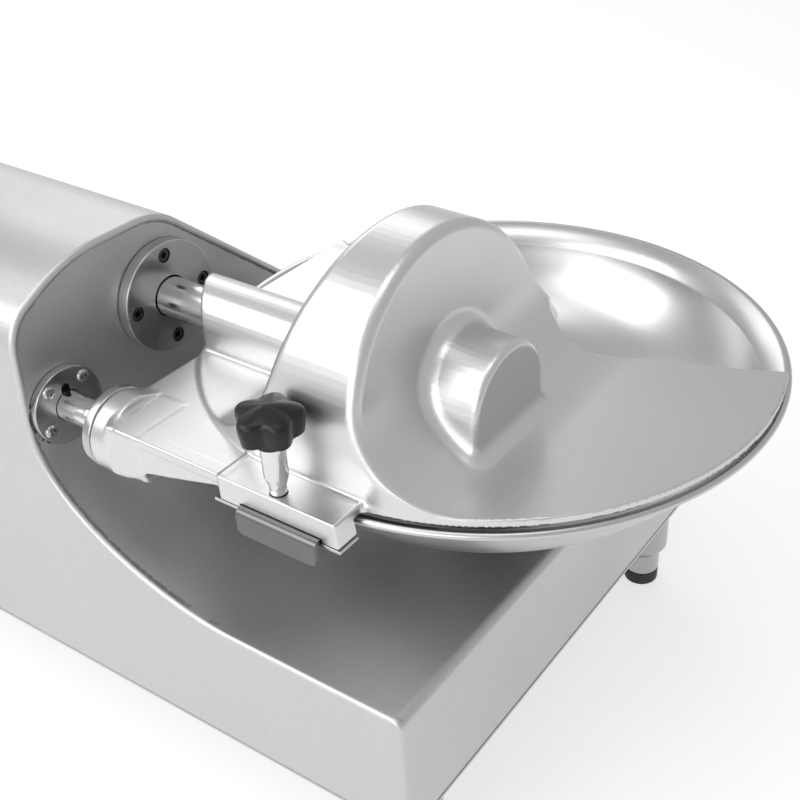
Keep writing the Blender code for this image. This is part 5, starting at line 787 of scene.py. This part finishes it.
# Legs and rubber feet
for i, (x, y) in enumerate((x, y) for x in (-485, 54) for y in (-190, 150)):
    profile = soft([(0, -226.4), (20.5, -226.4), (20.5, -257), (14.75, -264.5), (14.75, -283.9), (0, -283.9)],
                   1.2)
    leg = spun(profile, "Z", (x, y, 0), 64)
    link(f"leg_turned_{i + 1}", leg, TURNED_Z, "root", "brushed_steel", f"leg_{i + 1}")
    tip = spun(soft([(0, -284.3), (14.7, -284.3), (14.45, -296), (0, -296)], 0.8), "Z", (x, y, 0), 64)
    link(f"foot_tip_{i + 1}", tip, RUBBER, "root", "black_rubber", f"rubber_foot_{i + 1}")

# Spindle housing under the bowl, its flange screws and the bowl nut
profile = soft([(17, -62), (26, -62), (26, -113.7), (44, -113.7), (44, -121.6), (17, -121.6)], 1.2)
bearing_tube = spun(profile, "Z", (0, 0, 0), 96)
link("spindle_housing_turned", bearing_tube, IRON, "root", "grey_iron", "spindle_housing")
for i in range(4):
    a = math.radians(45 + 90 * i)
    spot = (35 * math.cos(a), 35 * math.sin(a))
    profile = soft([(0, -114), (4.9, -114), (4.9, -109), (0, -109)], 0.6)
    socket = rod("Z", (*spot, 0), 2.5, -111.5, -108, 6)
    screw = carved(spun(profile, "Z", (*spot, 0), 32), socket)
    link(f"spindle_screw_{i + 1}", screw, SCREW, "root", "brushed_steel")
profile = [(0, -13.0), (3.2, -13.1), (5.6, -13.8), (7.2, -15.2), (7.9, -17.2), (7.9, -19.6), (7.5, -20.1),
           (0, -20.1)]
link("bowl_nut_domed", spun(profile, "Z", (0, 0, 0), 48), POLISHED, "bowl", "polished_steel", "bowl_nut")

# Switch plate and buttons
BUTTON_HEIGHT = -70
START_X, STOP_X = -420, -380
outline = rounded([(-445, -92, 6), (-355, -92, 6), (-355, -48, 6), (-445, -48, 6)], 8)
base = plate(outline, "Y", -223, -221.3)
for x in (START_X, STOP_X):
    base = carved(base, rod("Y", (x, 0, BUTTON_HEIGHT), 13, -226, -221.6, 64), operation="UNION")
base = carved(base, *(rod("Y", (x, 0, BUTTON_HEIGHT), 9, -228, -219, 64) for x in (START_X, STOP_X)))
bevel(link("switch_plate_moulded", base, BLACK, "root", "black_plastic", "switch_plate"), 0.5, 3)
for name, x, look, slot in (("start", START_X, GREEN, "green_plastic"), ("stop", STOP_X, RED, "red_plastic")):
    profile = soft([(0, -230), (7.2, -229.6), (8.7, -228.2), (8.7, FRONT), (6, FRONT), (6, -207), (0, -207)],
                   0.8)
    cap = spun(profile, "Y", (x, 0, BUTTON_HEIGHT), 64)
    link(f"{name}_button_cap", cap, look, f"{name}_button", slot, f"{name}_button")
for i, (x, z) in enumerate(((-439, -86), (-361, -86), (-361, -54), (-439, -54))):
    pan_screw(f"switch_screw_{i + 1}", (x, z), -223, "root", "brushed_steel", 0.4 + i, "Y", 2.6, -1)

# End cover with its screws sunk into it, and screws under the bottom plate
END_SCREWS = ((-208, -208), (-208, -80), (-206, 30), (-120, 74), (-20, 24), (70, -60), (165, -134),
              (165, -208), (-20, -212))
outline = rounded([(FRONT, BASE_BOTTOM, 2), *CROSS_TOP, (178, BASE_BOTTOM, 2)], 12)
wells = [rod("X", (0, y, z), 5.2, HOUSING_LEFT - 1, COVER_SEAT - 0.5, 32) for y, z in END_SCREWS]
end_plate = carved(plate(outline, "X", HOUSING_LEFT, COVER_SEAT), *wells)
bevel(link("end_cover_plate", end_plate, BRUSHED, "root", "brushed_steel", "end_cover"), 0.4)
for i, (y, z) in enumerate(END_SCREWS):
    pan_screw(f"end_screw_{i + 1}", (y, z), -517.7, "root", "brushed_steel", 0.7 * i, "X", 4.2, -1)
for i, (x, y) in enumerate((x, y) for x in (-500, -220, 60) for y in (-208, -20, 165)):
    pan_screw(f"plate_screw_{i + 1}", (x, y), -226, "root", "brushed_steel", 0.7 * i, "Z", 4.2, -1)


# Floor, lights and background
def sees_backdrop(tree):
    """One for camera, glossy and transmission rays, else zero."""
    path = tree.nodes.new("ShaderNodeLightPath")
    total = path.outputs["Is Camera Ray"]
    for kind in ("Is Glossy Ray", "Is Transmission Ray"):
        most = tree.nodes.new("ShaderNodeMath")
        most.operation = "MAXIMUM"
        tree.links.new(total, most.inputs[0])
        tree.links.new(path.outputs[kind], most.inputs[1])
        total = most.outputs[0]
    return total


floor_mesh = bpy.data.meshes.new("floor")
floor_mesh.from_pydata([(-4, -4, 0), (4, -4, 0), (4, 4, 0), (-4, 4, 0)], [], [(0, 1, 2, 3)])
floor = bpy.data.objects.new("floor", floor_mesh)
bpy.context.scene.collection.objects.link(floor)
paper, tree, bsdf, coords = shader("paper_floor", (0.86, 0.86, 0.86), 0.0, 0.9)
fibre = noise(tree, coords, 60)
bump(tree, bsdf, fibre, 0.0001)
glow = tree.nodes.new("ShaderNodeEmission")
blend = tree.nodes.new("ShaderNodeMixShader")
share = tree.nodes.new("ShaderNodeMath")
share.operation = "MULTIPLY"
share.inputs[1].default_value = 0.5
tree.links.new(sees_backdrop(tree), share.inputs[0])
tree.links.new(share.outputs[0], blend.inputs[0])
tree.links.new(bsdf.outputs[0], blend.inputs[1])
glow.inputs["Strength"].default_value = 1.25
tree.links.new(glow.outputs[0], blend.inputs[2])
tree.links.new(blend.outputs[0], tree.nodes["Material Output"].inputs["Surface"])
floor_mesh.materials.append(paper)


def area_light(name, place, target, size, power):
    """Soft box aimed at a point, in metres."""
    data = bpy.data.lights.new(name, "AREA")
    data.shape = "RECTANGLE"
    data.size, data.size_y = size
    data.energy = power
    lamp = bpy.data.objects.new(name, data)
    bpy.context.scene.collection.objects.link(lamp)
    lamp.location = place
    lamp.rotation_euler = (Vector(target) - Vector(place)).to_track_quat("-Z", "Y").to_euler()
    return lamp


area_light("key", (-0.9, -1.4, 1.7), (0, 0, 0.25), (1.8, 1.4), 25)
area_light("back", (-1.5, 1.3, 1.5), (0, 0, 0.25), (1.4, 1.0), 7)
area_light("top", (0.2, -0.3, 2.2), (0.1, 0, 0.25), (1.2, 0.6), 5)
area_light("fill", (0.25, -1.7, 0.8), (-0.05, 0, 0.15), (1.3, 0.8), 9)

sky = bpy.data.worlds.new("studio")
bpy.context.scene.world = sky
sky.use_nodes = True
backdrop = sky.node_tree.nodes["Background"]
backdrop.inputs["Color"].default_value = (1, 1, 1, 1)
backdrop.inputs["Strength"].default_value = 0.6
